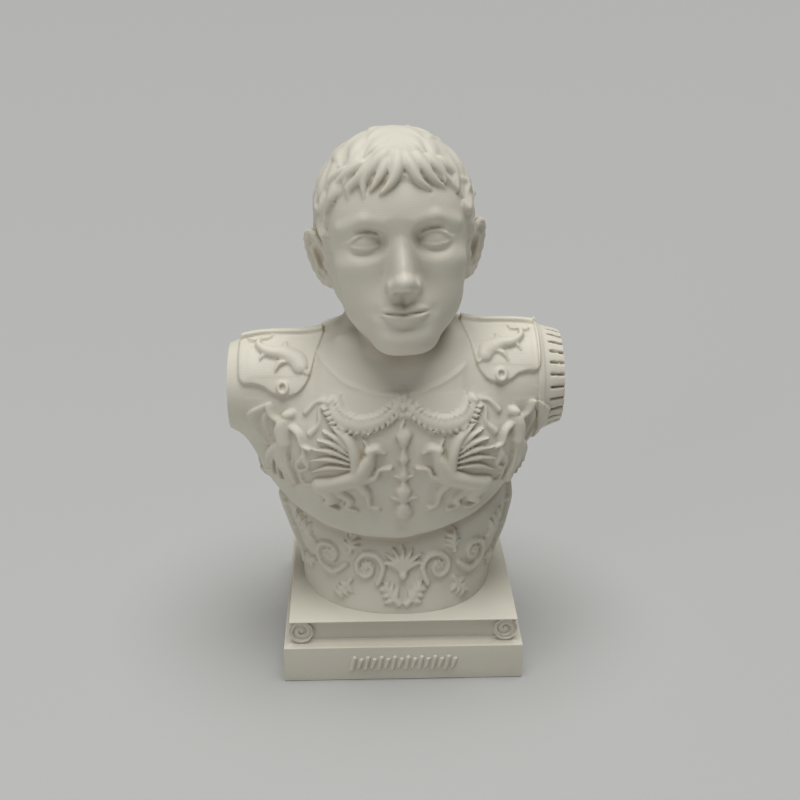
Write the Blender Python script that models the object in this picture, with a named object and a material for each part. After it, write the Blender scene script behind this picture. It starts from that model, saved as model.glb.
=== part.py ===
"""A printed souvenir bust of a Roman in a figured breastplate, on a square stepped plinth.

The plinth is built from boxes, mouldings and rolls. The bust is modelled like clay: a grid of signed
distances is filled with round forms, carved, turned into a mesh, thinned, and cut flat below and at both arms.
"""

import math

import bmesh
import bpy
import numpy as np

# Driving sizes, in metres.
PLINTH_WIDTH = 0.0675
PLINTH_DEPTH = 0.0675
SLAB_HEIGHT = 0.0109
SLAB_EDGE = 0.0003  # bevel of the slab's upper edge
PLATE_INSET = 0.0016  # plate and rolls, back from the slab's faces
PLATE_THICKNESS = 0.0009
BAND_HEIGHT = 0.0052  # recessed band between the moulding and the plate
BAND_INSET = 0.0012  # back from the plate's edge
MOULDING_HEIGHT = 0.0015
ROLL_RADIUS = 0.0033
ROLL_DROP = 0.0001  # top of the rolls, below the plate's top
STROKE_COUNT = 16  # slanted strokes on the slab's front
STROKE_PITCH = 0.0019
STROKE_WIDTH = 0.0010
STROKE_LENGTH = 0.0050
STROKE_RISE = 0.0006
BUST_HEIGHT = 0.1311
CLEARANCE = 0.0003  # under the bust, where it stands on the plate
BUST_TRIANGLES = 8500
FACE_CARE = 0.15  # how much the thinning spares the face

PLINTH_HEIGHT = SLAB_HEIGHT + MOULDING_HEIGHT + BAND_HEIGHT + PLATE_THICKNESS

# The bust is modelled in units of its own: MODEL_HEIGHT tall, foot at z = 0, face towards -y.
# Every number below in a form is in these units, and the finished mesh is scaled to BUST_HEIGHT.
MODEL_HEIGHT = 131.1
GRID_STEP = 0.75
BELOW_FOOT = 3.0  # clay under the foot and past the arms, which the flat cuts take off
RIGHT_ARM_CUT = -47.9  # the figure's right arm is at -x
LEFT_ARM_CUT = 44.9
FAR = 9.0
HEAD_CENTRE = (-1.2, -1.5, 101.6)
HEAD_TURNS = (-12.0, -3.0, 2.0)  # degrees: tilted back, leaning to its right, turned to its left
HAIR_RADII = (21.0, 26.0, 22.5)
HAIR_CENTRE = (0.0, 3.0, 7.6)
EYE_DEPTH = 15.4  # of the eyeballs' middles before the head's middle
TORSO_RADIUS = 34.0  # turns an angle around the torso into a length along its front
SOFT_EDGE = 0.3  # how far relief spreads past its drawn width
ROUNDNESS = 0.9  # of the relief's section: 0.5 is a half round, 1 a flat hump
FLAP_RISE = 1.1
STRIP_STEP = math.radians(13.0)

OFF_WHITE = (0.60, 0.58, 0.50, 1.0)


def smooth_step(value, low, high):
    share = np.clip((value - low) / (high - low), 0.0, 1.0)
    return share * share * (3.0 - 2.0 * share)


def smooth_min(a, b, blend):
    if blend <= 0.0:
        return np.minimum(a, b)
    share = np.maximum(blend - np.abs(a - b), 0.0) / blend
    return np.minimum(a, b) - share * share * blend * 0.25


class Form:
    """A signed distance with the box that holds its surface."""

    def __init__(self, distance, low, high):
        self.distance = distance
        self.low = np.array(low, float)
        self.high = np.array(high, float)


def turned(angles):
    """The matrix of a turn about x, then y, then z, in degrees."""
    ax, ay, az = (math.radians(angle) for angle in angles)
    about_x = np.array([[1, 0, 0], [0, math.cos(ax), -math.sin(ax)], [0, math.sin(ax), math.cos(ax)]])
    about_y = np.array([[math.cos(ay), 0, math.sin(ay)], [0, 1, 0], [-math.sin(ay), 0, math.cos(ay)]])
    about_z = np.array([[math.cos(az), -math.sin(az), 0], [math.sin(az), math.cos(az), 0], [0, 0, 1]])
    return about_z @ about_y @ about_x


def ellipsoid(centre, radii, angles=(0, 0, 0), frame=None):
    """An egg; frame is the head's (centre, matrix) when the numbers are in the head's own axes."""
    centre = np.array(centre, float)
    matrix = turned(angles)
    if frame is not None:
        centre = frame[0] + frame[1] @ centre
        matrix = frame[1] @ matrix

    def distance(x, y, z):
        x, y, z = x - centre[0], y - centre[1], z - centre[2]
        near = 0.0
        steep = 0.0
        for axis in range(3):
            along = x * matrix[0, axis] + y * matrix[1, axis] + z * matrix[2, axis]
            near = near + (along / radii[axis]) ** 2
            steep = steep + (along / radii[axis] ** 2) ** 2
        near = np.sqrt(near)
        return near * (near - 1.0) / np.maximum(np.sqrt(steep), 1e-6)

    half = np.sqrt((matrix**2) @ (np.array(radii, float) ** 2))
    return Form(distance, centre - half, centre + half)


def rod(start, end, radius, end_radius=None, frame=None):
    """A round-ended rod that may taper."""
    a, b = np.array(start, float), np.array(end, float)
    if frame is not None:
        a, b = frame[0] + frame[1] @ a, frame[0] + frame[1] @ b
    last = radius if end_radius is None else end_radius
    way = b - a
    length2 = float(way @ way)

    def distance(x, y, z):
        x, y, z = x - a[0], y - a[1], z - a[2]
        share = np.clip((x * way[0] + y * way[1] + z * way[2]) / length2, 0.0, 1.0)
        gap = np.sqrt((x - share * way[0]) ** 2 + (y - share * way[1]) ** 2 + (z - share * way[2]) ** 2)
        return gap - radius - (last - radius) * share

    widest = max(radius, last)
    return Form(distance, np.minimum(a, b) - widest, np.maximum(a, b) + widest)


class Clay:
    """Signed distances on a regular grid: below zero is inside."""

    def __init__(self, low, high, step):
        self.step = step
        self.low = np.array(low, float)
        counts = [int(math.ceil((b - a) / step)) + 1 for a, b in zip(low, high)]
        self.axes = [(self.low[i] + step * np.arange(counts[i])).astype(np.float32) for i in range(3)]
        self.value = np.full(counts, FAR, np.float32)

    def window(self, low, high):
        """The part of the grid inside a box, with its coordinates."""
        part = tuple(
            slice(int(np.searchsorted(axis, a)), int(np.searchsorted(axis, b)))
            for axis, a, b in zip(self.axes, low, high)
        )
        x, y, z = (axis[cut] for axis, cut in zip(self.axes, part))
        return part, x[:, None, None], y[None, :, None], z[None, None, :]

    def add(self, form, blend=0.0):
        margin = max(blend, 2.0 * self.step) + self.step
        part, x, y, z = self.window(form.low - margin, form.high + margin)
        self.value[part] = smooth_min(self.value[part], form.distance(x, y, z), blend)

    def cut(self, form, blend=0.0):
        margin = max(blend, 2.0 * self.step) + self.step
        part, x, y, z = self.window(form.low - margin, form.high + margin)
        self.value[part] = -smooth_min(-self.value[part], form.distance(x, y, z), blend)

    def skin(self, low, high, reach=3.5):
        """The grid points near the surface in a box: their indices and coordinates."""
        part, x, y, z = self.window(low, high)
        near = np.nonzero(np.abs(self.value[part]) < reach)
        index = tuple(found + cut.start for found, cut in zip(near, part))
        return index, *(axis[found] for axis, found in zip(self.axes, index))

    def raise_skin(self, index, height):
        """Moves the surface outwards by a height, also where blends have stretched the distances."""
        slope = 0.0
        for axis, count in enumerate(self.value.shape):
            ends = []
            for shift in (-1, 1):
                moved = list(index)
                moved[axis] = np.clip(index[axis] + shift, 0, count - 1)
                ends.append(self.value[tuple(moved)])
            slope = slope + ((ends[1] - ends[0]) / (2.0 * self.step)) ** 2
        self.value[index] -= (height * np.minimum(np.sqrt(slope), 1.0)).astype(np.float32)


def sound_cells():
    """For each of the 256 ways that a cell's corners lie in or out: do both sets hang together?"""
    corners = [(i, j, k) for i in (0, 1) for j in (0, 1) for k in (0, 1)]
    sound = np.zeros(256, bool)
    for case in range(256):
        whole = True
        for wanted in (0, 1):
            members = [c for n, c in enumerate(corners) if (case >> n) & 1 == wanted]
            reached = members[:1]
            for corner in reached:
                for other in members:
                    if other not in reached and sum(abs(p - q) for p, q in zip(corner, other)) == 1:
                        reached.append(other)
            whole = whole and len(reached) == len(members)
        sound[case] = whole
    return sound


def corner_views(grid):
    """The eight corner values of every cell, as views of the grid."""
    ends = (slice(0, -1), slice(1, None))
    return [grid[ends[i], ends[j], ends[k]] for i in (0, 1) for j in (0, 1) for k in (0, 1)]


def mend_cells(value):
    """Fills the corners that would make the surface touch itself along an edge or at a point."""
    sound = sound_cells()
    for _ in range(12):
        inside = corner_views(value < 0.0)
        case = np.zeros(inside[0].shape, np.uint8)
        for n, view in enumerate(inside):
            case |= view.astype(np.uint8) << n
        bad = np.argwhere(~sound[case])
        if len(bad) == 0:
            break
        for cell in bad:
            corner = value[cell[0] : cell[0] + 2, cell[1] : cell[1] + 2, cell[2] : cell[2] + 2]
            outside = np.where(corner < 0.0, np.inf, corner)
            corner[np.unravel_index(np.argmin(outside), (2, 2, 2))] = -0.01


def surface_net(clay):
    """The surface as vertices, one in each cell that it crosses, and quads."""
    value = clay.value
    mend_cells(value)
    inside = corner_views(value < 0.0)
    count = sum(view.astype(np.int8) for view in inside)
    cells = np.nonzero((count > 0) & (count < 8))
    number = np.full(count.shape, -1, np.int32)
    number[cells] = np.arange(len(cells[0]), dtype=np.int32)
    total = np.zeros((len(cells[0]), 3))
    crossings = np.zeros(len(cells[0]))
    offsets = [(i, j, k) for i in (0, 1) for j in (0, 1) for k in (0, 1)]
    for first in offsets:
        for axis in range(3):
            if first[axis] == 1:
                continue
            start = tuple(cell + o for cell, o in zip(cells, first))
            end = tuple(index + (n == axis) for n, index in enumerate(start))
            a, b = value[start], value[end]
            crossed = (a < 0.0) != (b < 0.0)
            share = np.where(crossed, a / np.where(crossed, a - b, 1.0), 0.0)
            for n in range(3):
                total[:, n] += np.where(crossed, first[n] + (share if n == axis else 0.0), 0.0)
            crossings += crossed
    points = clay.low + clay.step * (np.stack(cells, 1) + total / crossings[:, None])
    quads = []
    for axis in range(3):
        u, v = (axis + 1) % 3, (axis + 2) % 3
        low = [slice(1, -1)] * 3
        low[axis] = slice(0, -1)
        high = list(low)
        high[axis] = slice(1, None)
        a, b = value[tuple(low)] < 0.0, value[tuple(high)] < 0.0
        for entering in (False, True):
            edge = np.nonzero((a & ~b) if not entering else (~a & b))
            base = [edge[n] + (0 if n == axis else 1) for n in range(3)]
            ring = []
            for du, dv in ((0, 0), (-1, 0), (-1, -1), (0, -1)):
                index = list(base)
                index[u] = base[u] + du
                index[v] = base[v] + dv
                ring.append(number[tuple(index)])
            quad = np.stack(ring if not entering else ring[::-1], 1)
            quads.append(quad)
    return points, np.concatenate(quads)


def level_curve(keys, level, step=0.5, width=13):
    """A smooth curve through a few (level, size) keys, at the given levels."""
    at, size = zip(*keys)
    fine = np.arange(at[0] - 16.0 * step, at[-1] + 16.0 * step, step)
    drawn = np.interp(fine, at, size)
    window = np.hanning(width)
    padded = np.pad(drawn, width // 2, mode="edge")
    return np.interp(level, fine, np.convolve(padded, window / window.sum(), mode="valid"))


def smooth_path(points, count):
    """A curve through the points (Catmull-Rom), with count steps between each two."""
    points = np.array(points, float)
    if len(points) < 3:
        return points
    padded = np.vstack([2 * points[0] - points[1], points, 2 * points[-1] - points[-2]])
    curve = []
    for n in range(len(points) - 1):
        p0, p1, p2, p3 = padded[n : n + 4]
        for t in np.arange(count) / count:
            curve.append(
                0.5 * (2 * p1 + (p2 - p0) * t + (2 * p0 - 5 * p1 + 4 * p2 - p3) * t**2
                       + (3 * p1 - p0 - 3 * p2 + p3) * t**3)
            )
    curve.append(points[-1])
    return np.array(curve)


# Half widths and depths of the torso at a few heights, (height, size).
TORSO_RIGHT = (
    (0, 28.8), (10, 28.8), (17, 31.2), (25, 33.8), (34, 35.8),
    (43, 39.8), (55, 39.8), (64, 35), (71, 22), (77, 10), (83, 3),
)
TORSO_LEFT = (
    (0, 26.4), (10, 27.2), (17, 29.6), (25, 31.4), (34, 30.6), (40, 32.0),
    (47, 35.2), (56, 36.8), (65, 35), (72, 23), (78, 9), (84, 3),
)
TORSO_FRONT = (
    (0, 28.6), (7, 26.2), (15, 24.4), (24, 23.2), (38, 24.0),
    (52, 23.2), (61, 20.5), (69, 16), (78, 10), (85, 3),
)
TORSO_BACK = ((0, 26), (10, 24), (24, 23), (42, 25), (58, 25.5), (68, 22), (76, 15), (85, 3))
# Heights at places across the front, (across, height).
CHEST_LINE = (
    (-60, 42), (-38, 34), (-30, 28.5), (-21, 24.5), (-12, 22.8), (0, 22.4),
    (10, 24.6), (19, 27.6), (26, 31.5), (38, 42), (60, 48),
)
NECKLINE = (
    (-60, 92), (-40, 82), (-22, 71), (-15.5, 67), (-9, 65.2), (-1, 64.6),
    (5, 65.4), (11.4, 67.6), (19, 71.4), (36, 82), (56, 92),
)
SHELL = 3.0  # the breastplate's chest, proud of the waist
COLLAR = 0.6  # the breastplate's edge, proud of the chest inside the neckline


def torso_distance(x, y, z):
    level = np.ravel(z)
    right, left, front, back = (
        level_curve(keys, level).reshape(z.shape) for keys in (TORSO_RIGHT, TORSO_LEFT, TORSO_FRONT, TORSO_BACK)
    )
    across = np.abs(x) / np.where(x < 0.0, right, left)
    deep = np.abs(y) / np.where(y < 0.0, front, back)
    ring = (across**2.25 + deep**2.25) ** (1.0 / 2.25)
    reach = np.sqrt(x * x + y * y)
    return reach * (1.0 - 1.0 / np.maximum(ring, 1e-3)) * 0.92


def chest_gap(x, y, z):
    """Height over the curved line under the breast."""
    line = level_curve(CHEST_LINE, x)
    return z - line + np.where(y > 0.0, 3.0 * smooth_step(y, 0.0, 20.0), 0.0)


def shell_distance(x, y, z):
    """The breastplate's chest, above the line under the breast."""
    return -smooth_min(-(torso_distance(x, y, z) - SHELL), chest_gap(x, y, z), 1.6)


def torso(clay):
    low, high = (-60, -40, -BELOW_FOOT), (60, 40, 88)
    clay.add(Form(torso_distance, low, high))
    clay.add(Form(shell_distance, low, high), 1.0)
    clay.add(ellipsoid((-34, 1.5, 57.8), (24, 16.4, 14.6)), 5.0)
    clay.add(ellipsoid((31, 1.5, 59.8), (26, 16.4, 15.0)), 5.0)
    for side in (-1, 1):
        clay.add(ellipsoid((side * 15.5, -15.5, 46.5), (16, 11.0, 14.5), (0, 0, side * 14)), 5.0)
        clay.add(ellipsoid((side * 16, 17, 56), (14, 9.5, 15)), 6.0)
        clay.add(rod((side * 8 - 1.5, 4, 69.6), (side * 31 - 1.0, 3, 62.8 + 1.8 * side), 8.0, 7.8), 4.0)
    neck(clay)
    index, x, y, z = clay.skin((-56, -40, 12), (54, 24, 60))
    hollow = np.exp(-(((chest_gap(x, y, z) + 1.5) / 1.7) ** 2)) * (1.0 - smooth_step(y, 2.0, 14.0))
    clay.raise_skin(index, -0.8 * hollow)


def neck(clay):
    clay.add(rod((-2.4, 3.0, 66), (-2.6, 4.2, 95), 12.9, 12.2), 5.0)
    for side in (-1, 1):
        clay.add(rod((side * 10.5 - 2, 2.5, 92), (side * 3.6 - 1.8, -12.0, 73), 3.0, 2.0), 4.0)
        clay.add(rod((side * 4.4 - 1.6, -11.4, 73.0), (side * 15 - 1.5, -8.0, 74.2), 1.8, 1.4), 5.0)
    clay.add(ellipsoid((-2.0, -11.4, 83), (3.0, 2.4, 4.0)), 4.0)


def neckline(clay):
    """The breastplate's edge around the throat."""
    index, x, y, z = clay.skin((-56, -40, 48), (54, 40, 94))
    edge = level_curve(NECKLINE, x, 0.5, 9) + np.where(y > 0.0, 9.0 * smooth_step(y, 0.0, 14.0) - 1.0, 0.0)
    shown = smooth_step(z, 50.0, 60.0) * smooth_step(x, -24.0, -21.5) * (1.0 - smooth_step(x, 15.5, 18.0))
    gap = edge - z
    roll = 0.35 * np.exp(-(((gap - 0.5) / 0.6) ** 2))
    clay.raise_skin(index, shown * (COLLAR * smooth_step(gap, -0.4, 0.4) + roll))


def head_frame():
    return np.array(HEAD_CENTRE), turned(HEAD_TURNS)


def to_head(frame, x, y, z):
    """Grid points in the head's own axes."""
    parts = (x - frame[0][0], y - frame[0][1], z - frame[0][2])
    return [sum(parts[n] * frame[1][n, axis] for n in range(3)) for axis in range(3)]


def skull(clay, frame):
    """The head without features: eyes at half its height, chin at -30, crown at 30."""
    clay.add(ellipsoid((0, 3.2, 7.5), (20.7, 24.8, 21.2), frame=frame), 1.0)
    clay.add(ellipsoid((0, -5.5, -8.0), (16.4, 15.2, 20.4), frame=frame), 7.0)
    clay.add(ellipsoid((0, -8.5, 4.0), (17.6, 13.2, 13.5), frame=frame), 5.0)
    clay.add(ellipsoid((0, -17.0, -25.0), (6.0, 4.9, 4.4), frame=frame), 4.5)
    for side in (-1, 1):
        clay.add(rod((side * 12.6, 1.5, -12.5), (side * 4.4, -14.0, -24.6), 3.8, 4.2, frame=frame), 5.0)
        clay.add(rod((side * 14.8, 2, -3), (side * 13.0, 1.5, -12.5), 4.0, 3.6, frame=frame), 4.0)
        clay.add(ellipsoid((side * 11.4, -14.8, -5.6), (5.6, 4.4, 3.6), (0, 0, side * 28), frame=frame), 4.0)
        clay.add(ellipsoid((side * 9.2, -12.4, -13.4), (6.2, 5.6, 8.0), (0, 0, side * 20), frame=frame), 5.0)


# How far the nose stands out, and half its width, at heights in the head's axes.
NOSE_OUT = (
    (-14.6, 0.6), (-13.4, 2.6), (-12.4, 6.2), (-11.2, 8.0), (-9.6, 8.4), (-6, 7.0),
    (-2, 4.9), (1.5, 3.3), (4.5, 2.6), (6.5, 0.8), (8.5, 0.15),
)
NOSE_HALF = ((-14.6, 1.6), (-12.6, 3.2), (-10.4, 3.9), (-8, 3.7), (-4, 3.4), (0, 3.2), (3, 3.6), (7, 5.2))


def nose_distance(frame):
    def distance(x, y, z):
        across, deep, up = to_head(frame, x, y, z)
        out = level_curve(NOSE_OUT, up, 0.25, 9)
        half = level_curve(NOSE_HALF, up, 0.25, 9)
        forward = np.maximum(-19.0 - deep, 0.0) / out
        ring = (np.abs(across / half) ** 1.6 + forward**1.6) ** (1.0 / 1.6)
        return (ring - 1.0) * np.minimum(out, half) * 0.85

    return distance


def nose_and_brow(clay, frame):
    for side in (-1, 1):
        clay.cut(ellipsoid((side * 8.9, -24.0, 0.2), (6.4, 6.6, 4.4), frame=frame), 2.6)
        clay.add(rod((side * 3.4, -20.6, 4.8), (side * 8.8, -19.7, 5.8), 1.3, 0.8, frame=frame), 2.2)
        clay.add(rod((side * 8.8, -19.7, 5.8), (side * 14.6, -15.9, 3.8), 0.8, 1.0, frame=frame), 2.2)
    box = ellipsoid((0, -22, -4), (6, 8, 13), frame=frame)
    clay.add(Form(nose_distance(frame), box.low, box.high), 1.8)
    clay.add(ellipsoid((0, -25.0, -10.5), (2.3, 2.7, 2.1), frame=frame), 1.6)
    for side in (-1, 1):
        clay.add(ellipsoid((side * 3.0, -21.5, -11.6), (1.3, 2.9, 1.7), (0, 0, side * 14), frame=frame), 1.5)
        clay.cut(ellipsoid((side * 1.8, -23.6, -13.6), (1.0, 1.9, 1.0), frame=frame), 0.5)


def mouth(clay, frame):
    clay.add(ellipsoid((0, -15.7, -18.4), (8.6, 5.6, 6.8), frame=frame), 4.5)
    centre = frame[0] + frame[1] @ np.array((0.0, -20.0, -19.0))
    index, x, y, z = clay.skin(centre - (11, 8, 9), centre + (11, 8, 9))
    across, deep, up = to_head(frame, x, y, z)
    share = np.clip(np.abs(across) / 7.4, 0.0, 1.0)
    seam = -18.2 - 0.2 * np.exp(-((across / 1.6) ** 2)) + 0.3 * share**2
    tall_up = 2.5 * (1.0 - share**2) - 0.5 * np.exp(-((across / 0.9) ** 2)) + 0.05
    tall_low = 3.1 * (1.0 - share**1.8) + 0.05
    rise_up = np.clip((up - seam) / tall_up, 0.0, 2.0)
    rise_low = np.clip((seam - up) / tall_low, 0.0, 2.0)
    lip = np.where(up > seam, (1.05 - 0.45 * rise_up) * (1.0 - smooth_step(rise_up, 0.8, 1.25)), 0.0)
    lip = lip + np.where(up <= seam, 1.25 * np.clip(1.0 - ((rise_low - 0.4) / 0.66) ** 2, 0.0, 1.0), 0.0)
    height = lip * smooth_step(1.0 - share, 0.0, 0.5)
    height = height - 0.85 * np.exp(-(((up - seam) / 0.42) ** 2)) * smooth_step(1.0 - share, -0.02, 0.4)
    height = height - 0.35 * np.exp(-((np.abs(across) - 7.2) ** 2 + (up - seam) ** 2) / 2.4)
    height = height - 0.7 * np.exp(-(((up + 22.4) / 1.3) ** 2) - (across / 4.6) ** 2)
    height = height - 0.4 * np.exp(-((across / 0.9) ** 2)) * smooth_step(up, -17.0, -16.0)
    clay.raise_skin(index, height * (deep < -12.0))


def eyes(clay, frame):
    """Each eyeball with two lids that leave an almond between them."""
    for side in (-1, 1):
        middle = np.array([side * 8.7, -EYE_DEPTH, 0.1])
        inner = ellipsoid(middle, (6.2, 5.4, 5.4), frame=frame)

        def lidded(x, y, z, middle=middle, side=side):
            across, deep, up = (value - m for value, m in zip(to_head(frame, x, y, z), middle))
            across = across * side
            share = np.clip(np.abs(across) / 4.3, 0.0, 1.0)
            upper = 1.9 * (1.0 - share**2.2) - 0.05 * across
            lower = -1.25 * (1.0 - share**2.0) - 0.05 * across
            open_by = np.minimum(upper - up, up - lower)
            lid = np.where(up > 0.0, 0.62, 0.42) * (1.0 - smooth_step(open_by, -0.25, 0.25))
            crease = 0.45 * np.exp(-(((up - upper - 1.25) / 0.4) ** 2))
            squash = np.where(up > 0.0, 1.0, 1.22)
            return np.sqrt((0.80 * across) ** 2 + deep**2 + (squash * up) ** 2) - 4.5 - lid + crease

        clay.add(Form(lidded, inner.low, inner.high), 0.6)


def ears(clay, frame):
    """A flat shell with a rolled rim, a hollow and a lobe, standing off behind the jaw."""
    for side in (-1, 1):
        turn = turned((-10, side * 14, side * -30))
        centre = np.array((side * 20.4, 4.2, -4.2))

        def place(out, back, up, turn=turn, centre=centre, side=side):
            return centre + turn @ np.array((side * out, back, up))

        angles = (-10, side * 14, side * -30)
        clay.add(ellipsoid(centre, (1.5, 4.1, 7.4), angles, frame=frame), 1.2)
        clay.add(ellipsoid(place(-0.9, -2.2, -1.0), (2.2, 2.4, 5.0), angles, frame=frame), 1.6)
        turns = [math.radians(a) for a in range(150, -91, -24)]
        rim = [place(0.9, 4.3 * math.cos(a), 7.4 * math.sin(a)) for a in turns]
        for first, last in zip(rim, rim[1:]):
            clay.add(rod(first, last, 0.95, 0.95, frame=frame), 0.7)
        clay.add(ellipsoid(place(0.5, -0.4, -7.0), (1.2, 1.9, 2.2), angles, frame=frame), 0.9)
        clay.cut(ellipsoid(place(1.8, -0.6, -0.6), (2.2, 2.6, 4.4), angles, frame=frame), 0.7)
        clay.add(rod(place(0.9, 1.6, 3.6), place(1.0, 2.1, -2.6), 0.7, 0.7, frame=frame), 0.8)
        clay.add(ellipsoid(place(0.7, -3.0, -2.4), (1.3, 1.0, 1.6), angles, frame=frame), 0.8)


def hairline(azimuth):
    """Height of the hairline in the head's axes: azimuth 0 is the middle of the face, pi the nape."""
    keys = (
        (0, 15), (0.55, 14.5), (0.85, 11), (1.05, 3), (1.2, -3.5),
        (1.38, 3.5), (1.7, 4.5), (2.0, -7), (3.2, -15),
    )
    return np.interp(np.abs(azimuth), *zip(*keys))


def lock(away, root, direction, length, width, curl, rise):
    """Heights of a comma lock over unit directions away from the hair's middle."""
    spread = 23.5
    normal = root / np.linalg.norm(root)
    along = direction - normal * (direction @ normal)
    along = along / np.linalg.norm(along)
    side = np.cross(normal, along)
    facing = away @ normal
    near = np.nonzero(facing > math.cos(1.3 * length / spread))[0]
    s = (away[near] @ along) * spread / length
    w = (away[near] @ side) * spread
    w = w - curl * length * s * np.abs(s)
    half = width * np.clip(1.0 - np.clip(s, 0.0, 1.0) ** 2.2, 0.0, 1.0) ** 0.8
    half = half * (0.6 + 0.4 * smooth_step(s, -0.2, 0.3))
    inside = (s > -0.25) & (s < 1.0) & (half > 0.05)
    across = np.where(inside, np.abs(w) / np.maximum(half, 0.05), 2.0)
    body = smooth_step(1.0 - across, 0.0, 0.75)
    swell = smooth_step(s, -0.25, 0.7) * (1.0 - 0.5 * smooth_step(s, 0.65, 1.0))
    groove = 1.0 - 0.14 * np.exp(-(((across - 0.45) / 0.12) ** 2))
    return near, rise * body * swell * groove


# Thick locks of the fringe and temples: radius, then (azimuth in degrees, height) from root to tip.
FRINGE = (
    (1.8, (-44, 18.6), (-56, 16), (-66, 13), (-63, 10)),
    (1.9, (-30, 20), (-41, 17.2), (-51, 14.2), (-50, 11.2)),
    (2.0, (-17, 20.5), (-27, 17.0), (-37, 13.6), (-37, 10.9)),
    (1.7, (-58, 14.6), (-69, 11.8), (-77, 8.6), (-72, 5.6)),
    (1.9, (42, 19.6), (48, 16.6), (56, 13.8), (67, 11.2)),
    (2.0, (30, 20.5), (35, 17.4), (41, 14.6), (51, 12.0)),
    (2.1, (19, 21.2), (23, 17.8), (28, 15), (38, 12.4)),
    (2.2, (9, 21.5), (12, 18), (16, 15), (25, 12.4)),
    (2.4, (3, 22), (0, 18), (-4, 15), (-13, 12.0)),
    (2.6, (-6, 22.5), (-16, 19.5), (-25, 15.8), (-25, 11.2)),
    (1.8, (-7, 21.5), (-10, 18.2), (-15, 15.4), (-20, 13.0)),
    (1.7, (60, 14.4), (71, 11.8), (78, 8.6), (73, 5.4)),
    (1.4, (-75, 7.0), (-80, 4.0), (-80, 0.6), (-76, -2.6)),
    (1.4, (75, 7.0), (80, 4.0), (80, 0.6), (76, -2.6)),
)


def tuft(clay, frame, radius, keys):
    """One thick lock of three strands, half sunk into the hair, that narrows to a free tip."""
    for strand, thick, until in ((-0.5, 0.7, 0.78), (0.5, 0.7, 0.86), (0.0, 0.88, 1.0)):
        path = []
        for azimuth, up in smooth_path(keys, 6):
            ring = math.sqrt(1.0 - ((up - HAIR_CENTRE[2]) / HAIR_RADII[2]) ** 2)
            share = len(path) / (6.0 * (len(keys) - 1))
            turn = math.radians(azimuth) + strand * radius * (1.0 - share) / HAIR_RADII[0]
            out = np.array((HAIR_RADII[0] * math.sin(turn), -HAIR_RADII[1] * math.cos(turn), 0.0)) * ring
            sunk = 1.0 - 0.2 * radius / np.linalg.norm(out)
            path.append(np.array((0.0, HAIR_CENTRE[1], up)) + out * sunk)
        path = path[: int(until * len(path))] if until < 1.0 else path
        shares = [n / (len(path) - 1) for n in range(len(path))]
        sizes = [0.35 + (thick * radius - 0.35) * (1.0 - t**1.5) * smooth_step(t, -0.5, 0.35) for t in shares]
        for n in range(len(path) - 1):
            clay.add(rod(path[n], path[n + 1], sizes[n], sizes[n + 1], frame=frame), 0.3)


def hair(clay, frame):
    """Short comma locks in rings around the crown, with thick free locks over the brow."""
    low = frame[0] - (30, 34, 28)
    high = frame[0] + (30, 34, 34)
    index, x, y, z = clay.skin(low, high)
    world = np.stack([x, y, z], 1) - frame[0]
    local = world @ frame[1]
    azimuth = np.arctan2(local[:, 0], -local[:, 1])
    above = local[:, 2] - hairline(azimuth)
    away = (local - np.array(HAIR_CENTRE)) / np.array(HAIR_RADII)
    reach = np.linalg.norm(away, axis=1)
    away = away / reach[:, None]
    kept = smooth_step(above, -4.5, -0.5) * (1.0 - smooth_step(reach, 1.25, 1.35))
    height = 0.8 * smooth_step(above, -0.5, 1.5)
    whorl = np.array([0.08, 0.50, 0.86])
    whorl = whorl / np.linalg.norm(whorl)
    first = np.cross(whorl, (1.0, 0.0, 0.0))
    first = first / np.linalg.norm(first)
    second = np.cross(whorl, first)
    rng = np.random.default_rng(7)
    for ring in range(8):
        tilt = 0.16 + 0.27 * ring
        count = max(5, int(round(20 * math.sin(tilt))))
        for n in range(count):
            turn = 2.0 * math.pi * (n + 0.5 * (ring % 2) + rng.uniform(-0.18, 0.18)) / count
            out = first * math.cos(turn) + second * math.sin(turn)
            root = whorl * math.cos(tilt) + out * math.sin(tilt)
            point = root * np.array(HAIR_RADII) + np.array(HAIR_CENTRE)
            if point[2] < hairline(math.atan2(point[0], -point[1])) + 6.5:
                continue
            direction = out * math.cos(tilt) - whorl * math.sin(tilt)
            swing = rng.uniform(-0.35, 0.35)
            direction = direction + swing * np.cross(root, direction)
            curl = rng.choice((-1, 1)) * rng.uniform(0.25, 0.5)
            size = rng.uniform(0.9, 1.15)
            swell = 0.5 + 0.65 * smooth_step(tilt, 0.6, 1.5)
            near, rise = lock(away, root, direction, 9.6 * size, 3.6 * size, curl, swell)
            height[near] = np.maximum(height[near], rise + 0.75 * (rise > 0))
    clay.raise_skin(index, height * kept)
    for radius, *keys in FRINGE:
        tuft(clay, frame, radius, keys)


def spiral(centre, radius, start, turns, count=18):
    """Points that run inwards; turns below zero runs clockwise."""
    shares = np.linspace(0.0, 1.0, count)
    return [
        (
            centre[0] + radius * (1.0 - 0.8 * t) * math.cos(math.radians(start + 360.0 * turns * t)),
            centre[1] + radius * (1.0 - 0.8 * t) * math.sin(math.radians(start + 360.0 * turns * t)),
        )
        for t in shares
    ]


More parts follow.
